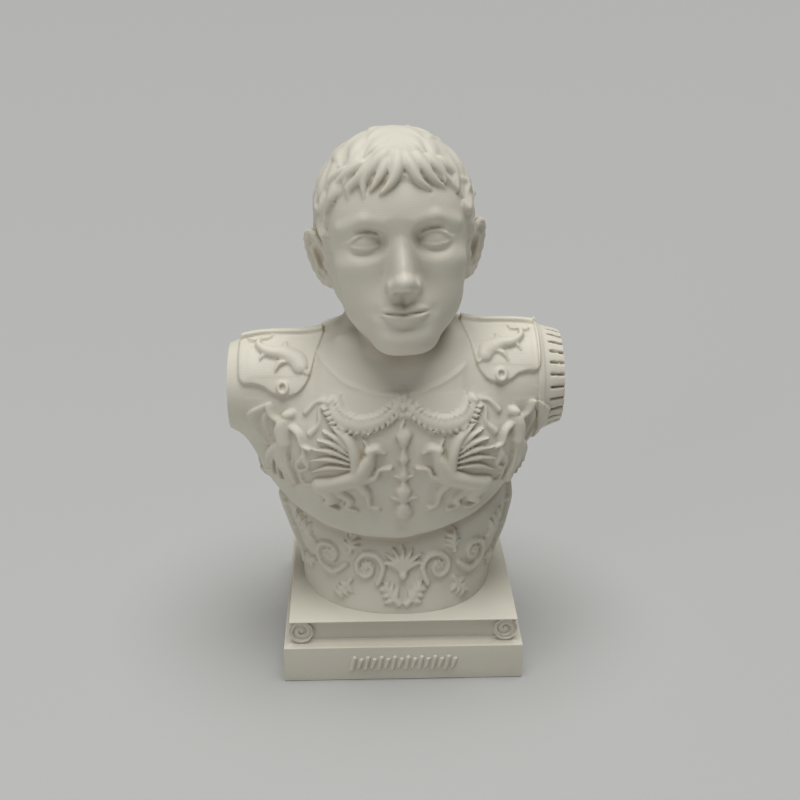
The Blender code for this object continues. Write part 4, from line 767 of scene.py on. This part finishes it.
def candlestick(relief):
    """A turned stand with leaves at its foot and a flame."""
    stem = [(0, 31.5 + 1.6 * n) for n in range(15)]
    relief.limb(stem, (2.6, 1.9, 1.0, 1.7, 2.2, 1.2, 0.8, 1.4, 1.0, 0.8, 1.5, 1.0, 0.8, 1.6, 2.4), 1.8, 1)
    for hand in (-1, 1):
        relief.leaf((0, 34), (hand * 3.8, 36.0), 0.8, 0.2 * hand, 1.6)
        relief.leaf((0, 40.5), (hand * 2.8, 42.6), 0.6, 0.2 * hand, 1.6)
    relief.limb(((0, 54.4), (-0.7, 56.2), (0.4, 58.4)), (1.2, 0.9, 0.2), 1.7)


def dancer(relief):
    """A small draped figure under a blown veil, at the side of the chest."""
    relief.dot((30.4, 57.2), 1.5, 2.2)
    relief.limb(((30.6, 55.4), (31.0, 52.4), (30.4, 49.0)), (1.5, 2.2, 1.8), 2.4)
    relief.limb(((30.4, 49.4), (31.2, 44.4), (29.2, 39.6), (29.6, 36.8)), (2.0, 2.0, 1.3, 1.0), 2.2)
    relief.limb(((31.2, 48.6), (34.2, 44.6), (35.2, 40.4)), (1.8, 1.5, 1.0), 2.0)
    relief.limb(((29.8, 54.6), (26.8, 53.0), (25.4, 50.0), (23.4, 49.4)), (1.0, 0.9, 0.7, 0.6), 1.8)
    relief.limb(((31.4, 54.6), (33.8, 56.0), (35.0, 59.0)), (1.0, 0.8, 0.6), 1.8)
    relief.limb(((35.0, 59.0), (37.4, 55.6), (37.6, 50.6), (35.8, 46.8)), (0.6, 1.0, 0.8, 0.4), 1.3)
    relief.limb(((34.4, 58.4), (35.6, 54.2), (34.8, 50.4)), (0.5, 0.7, 0.4), 1.1)
    relief.limb(((25.4, 50.0), (25.0, 46.8), (27.0, 43.8), (26.0, 40.6)), (0.5, 0.9, 0.7, 0.4), 1.4)
    for n in range(5):
        top = (29.6 + 0.8 * n, 48.4 - 0.6 * n)
        foot = (27.8 + 2.1 * n, 37.4 + 0.7 * abs(n - 1))
        relief.limb((top, ((top[0] + foot[0]) / 2 + 0.5, (top[1] + foot[1]) / 2), foot), (0.4, 0.5, 0.6), 2.9)


def acanthus(relief, base, way, size, lean):
    """A leaf with side lobes on both hands of a bent rib."""
    way = np.array(way, float) / np.linalg.norm(way)
    out = np.array((-way[1], way[0]))
    rib = [np.array(base) + size * (t * way + lean * t * t * out) for t in (0.0, 0.35, 0.7, 1.0)]
    relief.limb(rib, (0.13 * size, 0.12 * size, 0.1 * size, 0.04 * size), 1.6)
    for n in range(3):
        t = 0.12 + 0.24 * n
        root = np.array(base) + size * (t * way + lean * t * t * out)
        for hand in (-1, 1):
            tip = root + size * (0.30 * way + hand * (0.40 - 0.07 * n) * out)
            relief.leaf(root, tip, 0.135 * size, -0.16 * hand, 1.5)


def scroll(relief):
    """Acanthus scrolls from the middle of the waist out to the sides."""
    relief.limb(spiral((10.8, 12.6), 5.4, -130, -1.3, 10), (1.0, 0.9, 0.7), 1.6, 2)
    relief.limb(spiral((23.0, 14.6), 5.8, 200, 1.3, 10), (1.0, 0.9, 0.7), 1.6, 2)
    rosette(relief, (10.8, 12.6), 2.3)
    rosette(relief, (23.0, 14.6), 2.5)
    acanthus(relief, (1.0, 3.0), (1.0, 0.9), 7.5, 0.2)
    acanthus(relief, (15.6, 8.6), (0.5, -1.0), 7.0, 0.25)
    acanthus(relief, (16.2, 16.6), (-0.2, 1.0), 6.5, -0.25)
    acanthus(relief, (29.4, 10.6), (1.0, -0.6), 8.0, 0.2)
    acanthus(relief, (28.6, 17.6), (0.9, 0.8), 9.0, 0.2)


def flank(relief):
    """Heavier leaves at the side, which show in the outline."""
    for n in range(4):
        acanthus(relief, (37.0 + 1.3 * n, 11.0 + 7.0 * n), (0.9, 0.35), 8.0, 0.15)
    relief.limb(((36.5, 7.0), (39.0, 16.0), (41.6, 26.0), (42.6, 36.0)), (1.0, 1.7, 1.6, 0.6), 1.8)


def palmette(relief, base, size):
    for n in range(-3, 4):
        angle = math.radians(90 - 26 * n)
        tip = (base[0] + 0.9 * size * math.cos(angle), base[1] + size * (0.25 + 0.8 * math.sin(angle)))
        relief.leaf(base, tip, 0.13 * size, 0.06 * n, 1.7)
    relief.dot(base, 0.18 * size, 2.1)


def back_ornament(relief):
    """Plainer scrolls and leaves for the back."""
    relief.limb(spiral((96, 44), 6.0, 160, 1.2, 10), (1.0, 0.8, 0.6), 1.2, 2)
    acanthus(relief, (90.0, 44.0), (-0.8, 0.7), 9.0, 0.2)
    acanthus(relief, (89.0, 38.0), (-1.0, -0.3), 9.0, -0.2)
    acanthus(relief, (104.0, 30.0), (-0.6, -1.0), 10.0, 0.2)


def breastplate_relief(clay):
    index, x, y, z = clay.skin((-56, -40, 0.5), (54, 40, 72))
    angle = np.arctan2(x, -(y - 6.0))
    relief = Relief(TORSO_RADIUS * angle, z)
    for mirror in (-1.0, 1.0):
        relief.mirror = mirror
        festoon(relief)
        griffin(relief)
        dancer(relief)
        scroll(relief)
        flank(relief)
        back_ornament(relief)
    relief.mirror = 1.0
    candlestick(relief)
    rosette(relief, (0.0, 61.6), 3.6)
    palmette(relief, (0.0, 11.0), 8.0)
    clay.raise_skin(index, relief.height * smooth_step(z, 0.5, 3.0))


# A shoulder flap laid flat: (outwards, up) from the middle of its round end, for the left one.
FLAP_EDGE = (
    (-10.8, 23), (-10.2, 17), (-8.4, 9.4), (-7.2, 4.3), (-4.6, 1.0), (-1.0, 0),
    (2.2, 0.5), (4.6, 2.0), (7.2, 2.7), (10.2, 3.2), (11.0, 8), (11.0, 23),
)
FLAP_TOP = 21.6  # middle of the bar along the shoulder's crest
ARM_AXIS = 2.0  # y of the arms' middle
ARM_RADIUS = 16.6


def inside_outline(points, x, z):
    """Signed depth inside a closed outline: above zero is inside."""
    points = np.array(points, float)
    nearest = np.full(len(x), 99.0)
    within = np.zeros(len(x), bool)
    for a, b in zip(points, np.roll(points, -1, axis=0)):
        way = b - a
        share = np.clip(((x - a[0]) * way[0] + (z - a[1]) * way[1]) / max(way @ way, 1e-9), 0.0, 1.0)
        nearest = np.minimum(nearest, np.hypot(x - a[0] - share * way[0], z - a[1] - share * way[1]))
        crossed = (a[1] > z) != (b[1] > z)
        at = a[0] + (z - a[1]) * way[0] / (way[1] if abs(way[1]) > 1e-9 else 1e-9)
        within ^= crossed & (x < at)
    return np.where(within, nearest, -nearest)


def dolphin(relief):
    """A diving sea beast: round head, arched back with a fin, raised forked tail."""
    back = ((-4.6, 7.0), (-3.4, 9.2), (-0.2, 10.8), (3.2, 11.2), (5.8, 13.6), (5.6, 16.6))
    relief.limb(back, (2.1, 2.5, 2.2, 1.6, 0.9, 0.5), 1.8)
    relief.limb(((-5.0, 6.2), (-6.6, 4.9)), (0.9, 0.4), 1.4)
    relief.leaf((5.6, 16.2), (2.4, 18.4), 0.9, 0.2, 1.3)
    relief.leaf((5.6, 16.2), (8.6, 17.6), 0.9, -0.2, 1.3)
    relief.leaf((-2.6, 11.4), (-1.0, 15.0), 0.9, -0.25, 1.3)
    relief.leaf((-2.4, 8.2), (1.6, 5.4), 0.9, 0.25, 1.5)
    relief.leaf((2.6, 10.4), (5.4, 8.6), 0.7, 0.25, 1.3)


def flap(clay, side, middle, tip, axis, size):
    """A shoulder flap laid around the arm: a tongue with a ring stud, a beast and a bar on the crest."""
    index, x, y, z = clay.skin((-56, -40, 52), (54, 14, 94))
    start = math.atan2(tip - axis, math.sqrt(ARM_RADIUS**2 - (tip - axis) ** 2))
    along = ARM_RADIUS * (np.arctan2(z - axis, ARM_AXIS - y) - start)
    outline = smooth_path(FLAP_EDGE, 3) * size
    depth = inside_outline(outline, (x - middle) * side, along)
    plate = FLAP_RISE * smooth_step(depth, -0.15, 0.45)
    relief = Relief(x, along)
    relief.shift = (middle, 0.0)
    relief.mirror = side
    relief.size = size
    dolphin(relief)
    ring = np.abs(np.hypot((x - middle) * side + 0.4 * size, along - 2.0 * size) - 1.25)
    stud = 0.9 * np.clip(1.0 - (ring / 0.7) ** 2, 0.0, 1.0)
    bar = 1.3 * smooth_step(1.0 - np.abs(along - FLAP_TOP) / 1.5, 0.0, 0.5) * smooth_step(depth, 0.0, 0.5)
    height = plate + np.maximum(relief.height, np.maximum(stud, bar)) * (depth > 0.0)
    clay.raise_skin(index, height)


def sleeve(clay):
    """The left sleeve: a raised hem, a plain band, then strips with slits between them."""
    index, x, y, z = clay.skin((33, -30, 32), (54, 30, 92))
    around = np.arctan2(-(y - 1.5), z - 59.0)
    strip = np.abs(((around / STRIP_STEP) % 1.0) - 0.5)
    slit = smooth_step(strip, 0.38, 0.46) * smooth_step(x, 40.6, 41.1)
    hem = 0.7 * smooth_step(x, 37.2, 37.6) - 0.45 * smooth_step(x, 38.9, 39.3)
    clay.raise_skin(index, hem - 1.1 * slit)


def bust_mesh():
    clay = Clay((-56, -38, -BELOW_FOOT - 2), (54, 34, 136), GRID_STEP)
    torso(clay)
    neckline(clay)
    breastplate_relief(clay)
    flap(clay, -1, -32.8, 61.0, 57.8, 1.1)
    flap(clay, 1, 27.2, 64.2, 59.8, 1.0)
    sleeve(clay)
    head = Clay((-56, -38, -BELOW_FOOT - 2), (54, 34, 136), GRID_STEP)
    for shape in (skull, nose_and_brow, mouth, eyes, hair, ears):
        shape(head)
    clay.value = smooth_min(clay.value, head.value, 2.0)
    # clay that an arm cut or the foot takes off stays closed inside the grid
    for axis, last in ((0, 0), (0, -1), (1, 0), (1, -1), (2, 0), (2, -1)):
        wall = [slice(None)] * 3
        wall[axis] = last
        clay.value[tuple(wall)] = FAR
    points, quads = surface_net(clay)
    return settle(clay, points), quads


def settle(clay, points):
    """Moves the net's points onto the surface itself, so that it has no terraces."""
    at = (points - clay.low) / clay.step
    cell = np.clip(np.floor(at).astype(int), 0, np.array(clay.value.shape) - 2)
    share = at - cell
    value = 0.0
    slope = np.zeros_like(points)
    for corner in CORNERS:
        weights = [share[:, n] if corner[n] else 1.0 - share[:, n] for n in range(3)]
        here = clay.value[tuple(cell[:, n] + corner[n] for n in range(3))]
        value = value + here * weights[0] * weights[1] * weights[2]
        for n in range(3):
            others = weights[(n + 1) % 3] * weights[(n + 2) % 3]
            slope[:, n] += here * others * (1.0 if corner[n] else -1.0)
    steep = np.maximum((slope**2).sum(1), 1e-4)
    move = -(value / steep)[:, None] * slope
    length = np.linalg.norm(move, axis=1)
    move = move * np.minimum(1.0, 0.45 / np.maximum(length, 1e-9))[:, None]
    return points + move * clay.step


def new_object(name, data):
    made = bpy.data.objects.new(name, data)
    bpy.context.scene.collection.objects.link(made)
    return made


def mesh_object(name, bm):
    mesh = bpy.data.meshes.new(name)
    bmesh.ops.recalc_face_normals(bm, faces=bm.faces)
    bm.to_mesh(mesh)
    bm.free()
    return new_object(name, mesh)


def baked(made):
    """Turns an object's modifiers into plain mesh."""
    bpy.context.view_layer.update()
    plain = bpy.data.meshes.new_from_object(made.evaluated_get(bpy.context.evaluated_depsgraph_get()))
    made.modifiers.clear()
    made.data = plain
    return plain


def place_mesh(made, matrix):
    made.data.transform(matrix)
    made.data.update()


def dress(made, finish, sharp):
    """Gives a finished piece its shading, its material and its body."""
    made.data.shade_smooth()
    made.data.set_sharp_from_angle(angle=sharp)
    made.data.materials.clear()
    made.data.materials.append(finish)
    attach(made, "root")


def flat_cut(bm, point, normal):
    """Takes off what lies on the normal's side of a plane and closes the hole."""
    geometry = bm.verts[:] + bm.edges[:] + bm.faces[:]
    bmesh.ops.bisect_plane(bm, geom=geometry, dist=1e-6, plane_co=point, plane_no=normal, clear_outer=True)
    bmesh.ops.holes_fill(bm, edges=[edge for edge in bm.edges if edge.is_boundary])


def largest_body(bm):
    """Removes loose crumbs, keeping the body with the most vertices."""
    left = set(bm.verts)
    bodies = []
    while left:
        start = left.pop()
        body, queue = {start}, [start]
        while queue:
            for edge in queue.pop().link_edges:
                for vertex in edge.verts:
                    if vertex in left:
                        left.discard(vertex)
                        body.add(vertex)
                        queue.append(vertex)
        bodies.append(body)
    bodies.sort(key=len)
    for body in bodies[:-1]:
        bmesh.ops.delete(bm, geom=list(body), context="VERTS")


def carved_bust(finish):
    points, quads = bust_mesh()
    mesh = bpy.data.meshes.new("bust_carved")
    mesh.from_pydata(points.tolist(), [], quads.tolist())
    made = new_object("bust_carved", mesh)
    thin = made.modifiers.new("thin", "DECIMATE")
    thin.ratio = BUST_TRIANGLES / (2.0 * len(quads))
    thin.use_collapse_triangulate = True
    thinned = baked(made)
    bm = bmesh.new()
    bm.from_mesh(thinned)
    flat_cut(bm, (0, 0, 0), (0, 0, -1))
    flat_cut(bm, (RIGHT_ARM_CUT, 0, 0), (-1, 0, 0))
    flat_cut(bm, (LEFT_ARM_CUT, 0, 0), (1, 0, 0))
    largest_body(bm)
    top = max(vertex.co.z for vertex in bm.verts)
    bmesh.ops.triangulate(bm, faces=[face for face in bm.faces if len(face.verts) > 3])
    bm.to_mesh(thinned)
    bm.free()
    place_mesh(made, Matrix.Translation((0, 0, BUST_FOOT)) @ Matrix.Scale(BUST_HEIGHT / top, 4))
    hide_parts("bust")
    dress(made, finish, SHARP_CARVING)


def join_rings(bm, rings):
    """Faces between each ring of vertices and the next one."""
    for first, last in zip(rings, rings[1:]):
        for n in range(len(first)):
            after = (n + 1) % len(first)
            bm.faces.new((first[n], first[after], last[after], last[n]))


def quarter(count):
    """Sines and cosines over a quarter turn, without its start."""
    angles = [0.5 * math.pi * n / count for n in range(1, count + 1)]
    return [(math.sin(angle), math.cos(angle)) for angle in angles]


def plinth_profile():
    """(inset, level) from the foot up: slab, hollow moulding, small ledge, recessed band, thin lip."""
    band_face = PLATE_INSET + BAND_INSET
    band_foot = SLAB_HEIGHT + MOULDING_HEIGHT
    lip_foot = PLINTH_HEIGHT - LIP
    run = band_face - STEP_RUN - EDGE_BEVEL
    ease = 0.3 * STEP_RUN
    bevel = 0.3 * LIP
    steps = [(FOOT_BEVEL, 0.0), (0.0, FOOT_BEVEL), (0.0, SLAB_HEIGHT - EDGE_BEVEL)]
    for sine, cosine in quarter(4):
        steps.append((EDGE_BEVEL * (1.0 - cosine), SLAB_HEIGHT - EDGE_BEVEL * (1.0 - sine)))
    for sine, cosine in quarter(10):
        steps.append((EDGE_BEVEL + run * sine, SLAB_HEIGHT + MOULDING_HEIGHT * (1.0 - cosine)))
    steps += [(band_face - ease, band_foot), (band_face, band_foot + ease), (band_face, lip_foot)]
    steps += [(PLATE_INSET, lip_foot), (PLATE_INSET, PLINTH_HEIGHT - bevel)]
    return steps + [(PLATE_INSET + bevel, PLINTH_HEIGHT)]


def moulded_plinth(finish):
    bm = bmesh.new()
    loops = []
    for inset, level in plinth_profile():
        x, y = 0.5 * PLINTH_WIDTH - inset, 0.5 * PLINTH_DEPTH - inset
        loops.append([bm.verts.new((i * x, j * y, level)) for i, j in ((-1, -1), (1, -1), (1, 1), (-1, 1))])
    join_rings(bm, loops)
    bm.faces.new(loops[0][::-1])
    bm.faces.new(loops[-1])
    made = mesh_object("plinth_moulded", bm)
    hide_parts("plinth")
    dress(made, finish, SHARP_MOULDING)


def roll_sink(share, angle):
    """Depth of a roll's end: a funnel, with a ledge where the rolled sheet's edge winds inwards."""
    wind = (share * ROLL_TURNS + angle / (2.0 * math.pi)) % 1.0
    ledge = wind / LEDGE_CLIMB if wind < LEDGE_CLIMB else (1.0 - wind) / (1.0 - LEDGE_CLIMB)
    rim = smooth_step(1.0 - share, 0.0, 0.12)
    return BAND_INSET * rim * (0.5 * (1.0 - share) + 0.45 * ledge * smooth_step(share, 0.05, 0.3))


def rolls(finish):
    """A roll at each side, from front to back."""
    bm = bmesh.new()
    half = 0.5 * PLINTH_DEPTH - PLATE_INSET
    middle_x = 0.5 * PLINTH_WIDTH - PLATE_INSET - ROLL_RADIUS
    middle_z = PLINTH_HEIGHT - ROLL_DROP - ROLL_RADIUS
    for side in (-1, 1):
        rims = []
        for end in (-1, 1):
            rings = []
            for n in range(ROLL_RINGS):
                share = 1.0 - n / ROLL_RINGS
                ring = []
                for k in range(ROLL_SIDES):
                    angle = 2.0 * math.pi * k / ROLL_SIDES
                    y = end * (half - roll_sink(share, side * angle))
                    x = side * middle_x + ROLL_RADIUS * share * math.cos(angle)
                    ring.append(bm.verts.new((x, y, middle_z + ROLL_RADIUS * share * math.sin(angle))))
                rings.append(ring)
            tip = bm.verts.new((side * middle_x, end * (half - roll_sink(0.0, 0.0)), middle_z))
            join_rings(bm, rings)
            for k in range(ROLL_SIDES):
                bm.faces.new((rings[-1][k], rings[-1][(k + 1) % ROLL_SIDES], tip))
            rims.append(rings[0])
        join_rings(bm, rims)
    dress(mesh_object("plinth_rolls", bm), finish, SHARP_MOULDING)


def add_node(tree, kind, inputs=None, **settings):
    """Adds a node with its settings; each input gets a constant or a link from (node, output)."""
    made = tree.nodes.new(kind)
    for name, value in settings.items():
        setattr(made, name, value)
    for name, value in (inputs or {}).items():
        if isinstance(value, tuple) and isinstance(value[0], bpy.types.Node):
            tree.links.new(value[0].outputs[value[1]], made.inputs[name])
        else:
            made.inputs[name].default_value = value
    return made


def stroke_tree(finish):
    """A row of slanted raised strokes, long and short by turns."""
    tree = bpy.data.node_groups.new("stroke_row", "GeometryNodeTree")
    tree.interface.new_socket("Geometry", in_out="OUTPUT", socket_type="NodeSocketGeometry")
    tree.interface.new_socket("Count", in_out="INPUT", socket_type="NodeSocketInt")
    for name in ("Pitch", "Length", "Width", "Rise", "Lean"):
        tree.interface.new_socket(name, in_out="INPUT", socket_type="NodeSocketFloat")
    sizes = add_node(tree, "NodeGroupInput")
    # the stroke itself: a rounded bar with blunt ends, along z
    half = add_node(tree, "ShaderNodeMath", {0: (sizes, "Length"), 1: 0.5}, operation="MULTIPLY")
    side = add_node(tree, "ShaderNodeMath", {0: (half, "Value"), 1: (sizes, "Lean")}, operation="MULTIPLY")
    end = add_node(tree, "ShaderNodeCombineXYZ", {"X": (side, "Value"), "Z": (half, "Value")})
    opposite = {"Vector": (end, "Vector"), "Scale": -1.0}
    start = add_node(tree, "ShaderNodeVectorMath", opposite, operation="SCALE")
    ends = {"Start": (start, "Vector"), "End": (end, "Vector")}
    line = add_node(tree, "GeometryNodeCurvePrimitiveLine", ends)
    points = add_node(tree, "GeometryNodeResampleCurve", {"Curve": (line, "Curve"), "Count": 15})
    along = add_node(tree, "GeometryNodeSplineParameter")
    fade = add_node(tree, "ShaderNodeFloatCurve", {"Value": (along, "Factor")})
    keys = fade.mapping.curves[0].points
    keys[0].location = (0.0, 0.25)
    keys[1].location = (1.0, 0.25)
    for place, size in ((0.05, 0.72), (0.12, 1.0), (0.88, 1.0), (0.95, 0.72)):
        keys.new(place, size)
    rounded = {"Curve": (points, "Curve"), "Radius": (fade, "Value")}
    bar = add_node(tree, "GeometryNodeSetCurveRadius", rounded)
    ring = add_node(tree, "GeometryNodeCurvePrimitiveCircle", {"Resolution": 20, "Radius": 0.5})
    wide = add_node(tree, "ShaderNodeCombineXYZ", {"X": (sizes, "Width"), "Y": (sizes, "Rise"), "Z": 1.0})
    flattened = {"Geometry": (ring, "Curve"), "Scale": (wide, "Vector")}
    profile = add_node(tree, "GeometryNodeTransform", flattened)
    swept = {"Curve": (bar, "Curve"), "Profile Curve": (profile, "Geometry"), "Scale": (fade, "Value")}
    solid = add_node(tree, "GeometryNodeCurveToMesh", {**swept, "Fill Caps": True})
    # the row: every second stroke is shorter
    step = add_node(tree, "ShaderNodeCombineXYZ", {"X": (sizes, "Pitch")})
    row = add_node(tree, "GeometryNodeMeshLine", {"Count": (sizes, "Count"), "Offset": (step, "Vector")})
    index = add_node(tree, "GeometryNodeInputIndex")
    odd = add_node(tree, "ShaderNodeMath", {0: (index, "Index"), 1: 2.0}, operation="MODULO")
    heights = {"Value": (odd, "Value"), "To Min": 1.0, "To Max": STROKE_SHORT}
    tall = add_node(tree, "ShaderNodeMapRange", heights)
    size = add_node(tree, "ShaderNodeCombineXYZ", {"X": 1.0, "Y": 1.0, "Z": (tall, "Result")})
    each = {"Points": (row, "Mesh"), "Instance": (solid, "Mesh"), "Scale": (size, "Vector")}
    placed = add_node(tree, "GeometryNodeInstanceOnPoints", each)
    real = add_node(tree, "GeometryNodeRealizeInstances", {"Geometry": (placed, "Instances")})
    coated = add_node(tree, "GeometryNodeSetMaterial", {"Geometry": (real, "Geometry"), "Material": finish})
    add_node(tree, "NodeGroupOutput", {"Geometry": (coated, "Geometry")})
    return tree


def strokes(finish):
    """A row of strokes along the slab's front."""
    made = new_object("plinth_strokes", bpy.data.meshes.new("plinth_strokes"))
    grown = made.modifiers.new("strokes", "NODES")
    grown.node_group = stroke_tree(finish)
    values = {
        "Count": STROKE_COUNT,
        "Pitch": STROKE_PITCH,
        "Length": STROKE_LENGTH,
        "Width": STROKE_WIDTH,
        "Rise": 2.0 * STROKE_RISE,
        "Lean": STROKE_LEAN,
    }
    for socket in grown.node_group.interface.items_tree:
        if socket.in_out == "INPUT":
            grown[socket.identifier] = values[socket.name]
    baked(made)
    first = -0.5 * (STROKE_COUNT - 1) * STROKE_PITCH
    place_mesh(made, Matrix.Translation((first, -0.5 * PLINTH_DEPTH, 0.5 * SLAB_HEIGHT)))
    dress(made, finish, SHARP_STROKE)


def linear(hex_colour):
    """An sRGB hex colour as the linear values that a shader takes."""
    parts = [int(hex_colour[n : n + 2], 16) / 255.0 for n in (1, 3, 5)]
    return tuple(p / 12.92 if p <= 0.04045 else ((p + 0.055) / 1.055) ** 2.4 for p in parts) + (1.0,)


def per_metre(size):
    """The scale of a pattern whose patches are so many millimetres wide."""
    return 1000.0 / size


# Sizes of the plastic's patterns in millimetres. Real layers are 0.1 mm, too fine for the picture,
# so one line stands for six of them, and the grain is drawn as coarse.
LAYER_LINE = 0.6
GRAIN = 0.56
DUST = 2.4
MOTTLE = 18.0


def printed_plastic():
    """PLA, printed in thin layers: an off-white that scatters a little light, with faint level lines and
    painted shade in its hollows.
    """
    made = bpy.data.materials.new("printed_pla")
    made.use_nodes = True
    tree = made.node_tree
    tree.nodes.clear()
    place = (add_node(tree, "ShaderNodeTexCoord"), "Object")
    # a wave of scale 1 turns twenty radians in a metre
    wave = {
        "Vector": place,
        "Scale": 0.1 * math.pi * per_metre(LAYER_LINE),
        "Distortion": 1.2,
        "Detail": 2.0,
        "Detail Scale": 0.4,
    }
    layers = add_node(tree, "ShaderNodeTexWave", wave, bands_direction="Z")
    grain, mottle, dust = (
        add_node(tree, "ShaderNodeTexNoise", {"Vector": place, "Scale": per_metre(size), "Detail": detail})
        for size, detail in ((GRAIN, 3.0), (MOTTLE, 4.0), (DUST, 2.0))
    )
    tones = {"Factor": (mottle, "Fac"), "A": linear("#D2CDBD"), "B": linear("#E0DCCE")}
    tone = add_node(tree, "ShaderNodeMix", tones, data_type="RGBA")
    # painted shade: the hollows, found by ambient occlusion, are painted a darker warm brown-grey
    hollow = add_node(tree, "ShaderNodeAmbientOcclusion", {"Distance": 0.006}, samples=8, only_local=True)
    sunk = add_node(tree, "ShaderNodeMapRange", {"Value": (hollow, "AO"), "From Min": 0.35, "From Max": 0.95})
    # the dark warm colour here is painted shade for the hollows, mixed in by the occlusion
    painted_shade_inputs = {"Factor": (sunk, "Result"), "A": linear("#B3A994"), "B": (tone, "Result")}
    tone_with_painted_shade = add_node(tree, "ShaderNodeMix", painted_shade_inputs, data_type="RGBA")
    shine = add_node(tree, "ShaderNodeMath", {0: (grain, "Fac"), 1: (dust, "Fac")}, operation="MULTIPLY")
    rough = add_node(tree, "ShaderNodeMapRange", {"Value": (shine, "Value"), "To Min": 0.50, "To Max": 0.72})
    ridges = {"Height": (layers, "Fac"), "Strength": 0.16, "Distance": 0.00006}
    lined = add_node(tree, "ShaderNodeBump", ridges)
    specks = {"Height": (grain, "Fac"), "Strength": 0.20, "Distance": 0.00004, "Normal": (lined, "Normal")}
    bump = add_node(tree, "ShaderNodeBump", specks)
    surface = {
        "Base Color": (tone_with_painted_shade, "Result"),
        "Roughness": (rough, "Result"),
        "Normal": (bump, "Normal"),
        "IOR": 1.46,
        "Subsurface Weight": 0.12,
        "Subsurface Scale": 0.0012,
        "Subsurface Radius": (1.0, 0.8, 0.55),
    }
    shader = add_node(tree, "ShaderNodeBsdfPrincipled", surface)
    add_node(tree, "ShaderNodeOutputMaterial", {"Surface": (shader, "BSDF")})
    return made


def matte_floor():
    """Painted board: a pale, even, matte ground."""
    made = bpy.data.materials.new("painted_board")
    made.use_nodes = True
    shader = made.node_tree.nodes["Principled BSDF"]
    shader.inputs["Base Color"].default_value = linear("#B0B0AE")
    shader.inputs["Roughness"].default_value = 0.8
    return made


def floor():
    mesh = bpy.data.meshes.new("floor")
    corners = [(i * FLOOR_HALF, j * FLOOR_HALF, 0) for i, j in ((-1, -1), (1, -1), (1, 1), (-1, 1))]
    mesh.from_pydata(corners, [], [(0, 1, 2, 3)])
    mesh.materials.append(matte_floor())
    new_object("floor", mesh)


# The studio, in metres, watts and shares of the object's height.
FLOOR_HALF = 3.0
SUN_POWER = 3.0
SUN_SPREAD = math.radians(50.0)
SUN_LEAN = (math.radians(-0.5), math.radians(2.0), 0.0)
LAMP_PLACE = (-0.50, -0.55, 0.25)
LAMP_SIZE = 0.40
LAMP_POWER = 0.8
LAMP_AIM = 0.55
GLOW = 0.12


def lights():
    """A broad light overhead, a soft lamp at the left and a weak glow from all round."""
    sun = bpy.data.lights.new("soft_overhead", "SUN")
    sun.energy = SUN_POWER
    sun.angle = SUN_SPREAD
    new_object("soft_overhead", sun).rotation_euler = SUN_LEAN
    lamp = bpy.data.lights.new("soft_left", "AREA")
    lamp.shape = "DISK"
    lamp.size = LAMP_SIZE
    lamp.energy = LAMP_POWER
    way = Vector(LAMP_PLACE) - Vector((0.0, 0.0, LAMP_AIM * BOX[1][2]))
    turn = way.to_track_quat("Z", "Y").to_matrix().to_4x4()
    new_object("soft_left", lamp).matrix_world = Matrix.Translation(LAMP_PLACE) @ turn
    world = bpy.data.worlds.new("studio")
    bpy.context.scene.world = world
    world.use_nodes = True
    background = world.node_tree.nodes["Background"]
    background.inputs["Color"].default_value = linear("#E4E5E6")
    background.inputs["Strength"].default_value = GLOW


# The camera stands to the figure's right and above it, where the plinth's square edges
# in the photograph place it.
CAMERA_PLACE = (-0.0119, -0.3290, 0.2109)
CAMERA_DOWN = math.radians(22.861)
CAMERA_RIGHT = math.radians(2.061)
CAMERA_ROLL = math.radians(0.161)
CAMERA_LENS = 55.887  # mm, for a picture as wide as the sensor
CAMERA_SENSOR = 36.0


def camera():
    seen = bpy.data.cameras.new("camera")
    seen.lens = CAMERA_LENS
    seen.sensor_width = CAMERA_SENSOR
    seen.clip_start = 0.01
    made = new_object("camera", seen)
    turn = Matrix.Rotation(-CAMERA_RIGHT, 4, "Z") @ Matrix.Rotation(0.5 * math.pi - CAMERA_DOWN, 4, "X")
    made.matrix_world = Matrix.Translation(CAMERA_PLACE) @ turn @ Matrix.Rotation(CAMERA_ROLL, 4, "Z")
    bpy.context.scene.camera = made


def main():
    plastic = printed_plastic()
    carved_bust(plastic)
    moulded_plinth(plastic)
    rolls(plastic)
    strokes(plastic)
    floor()
    lights()
    camera()
    bpy.context.scene.view_settings.view_transform = "Standard"


main()
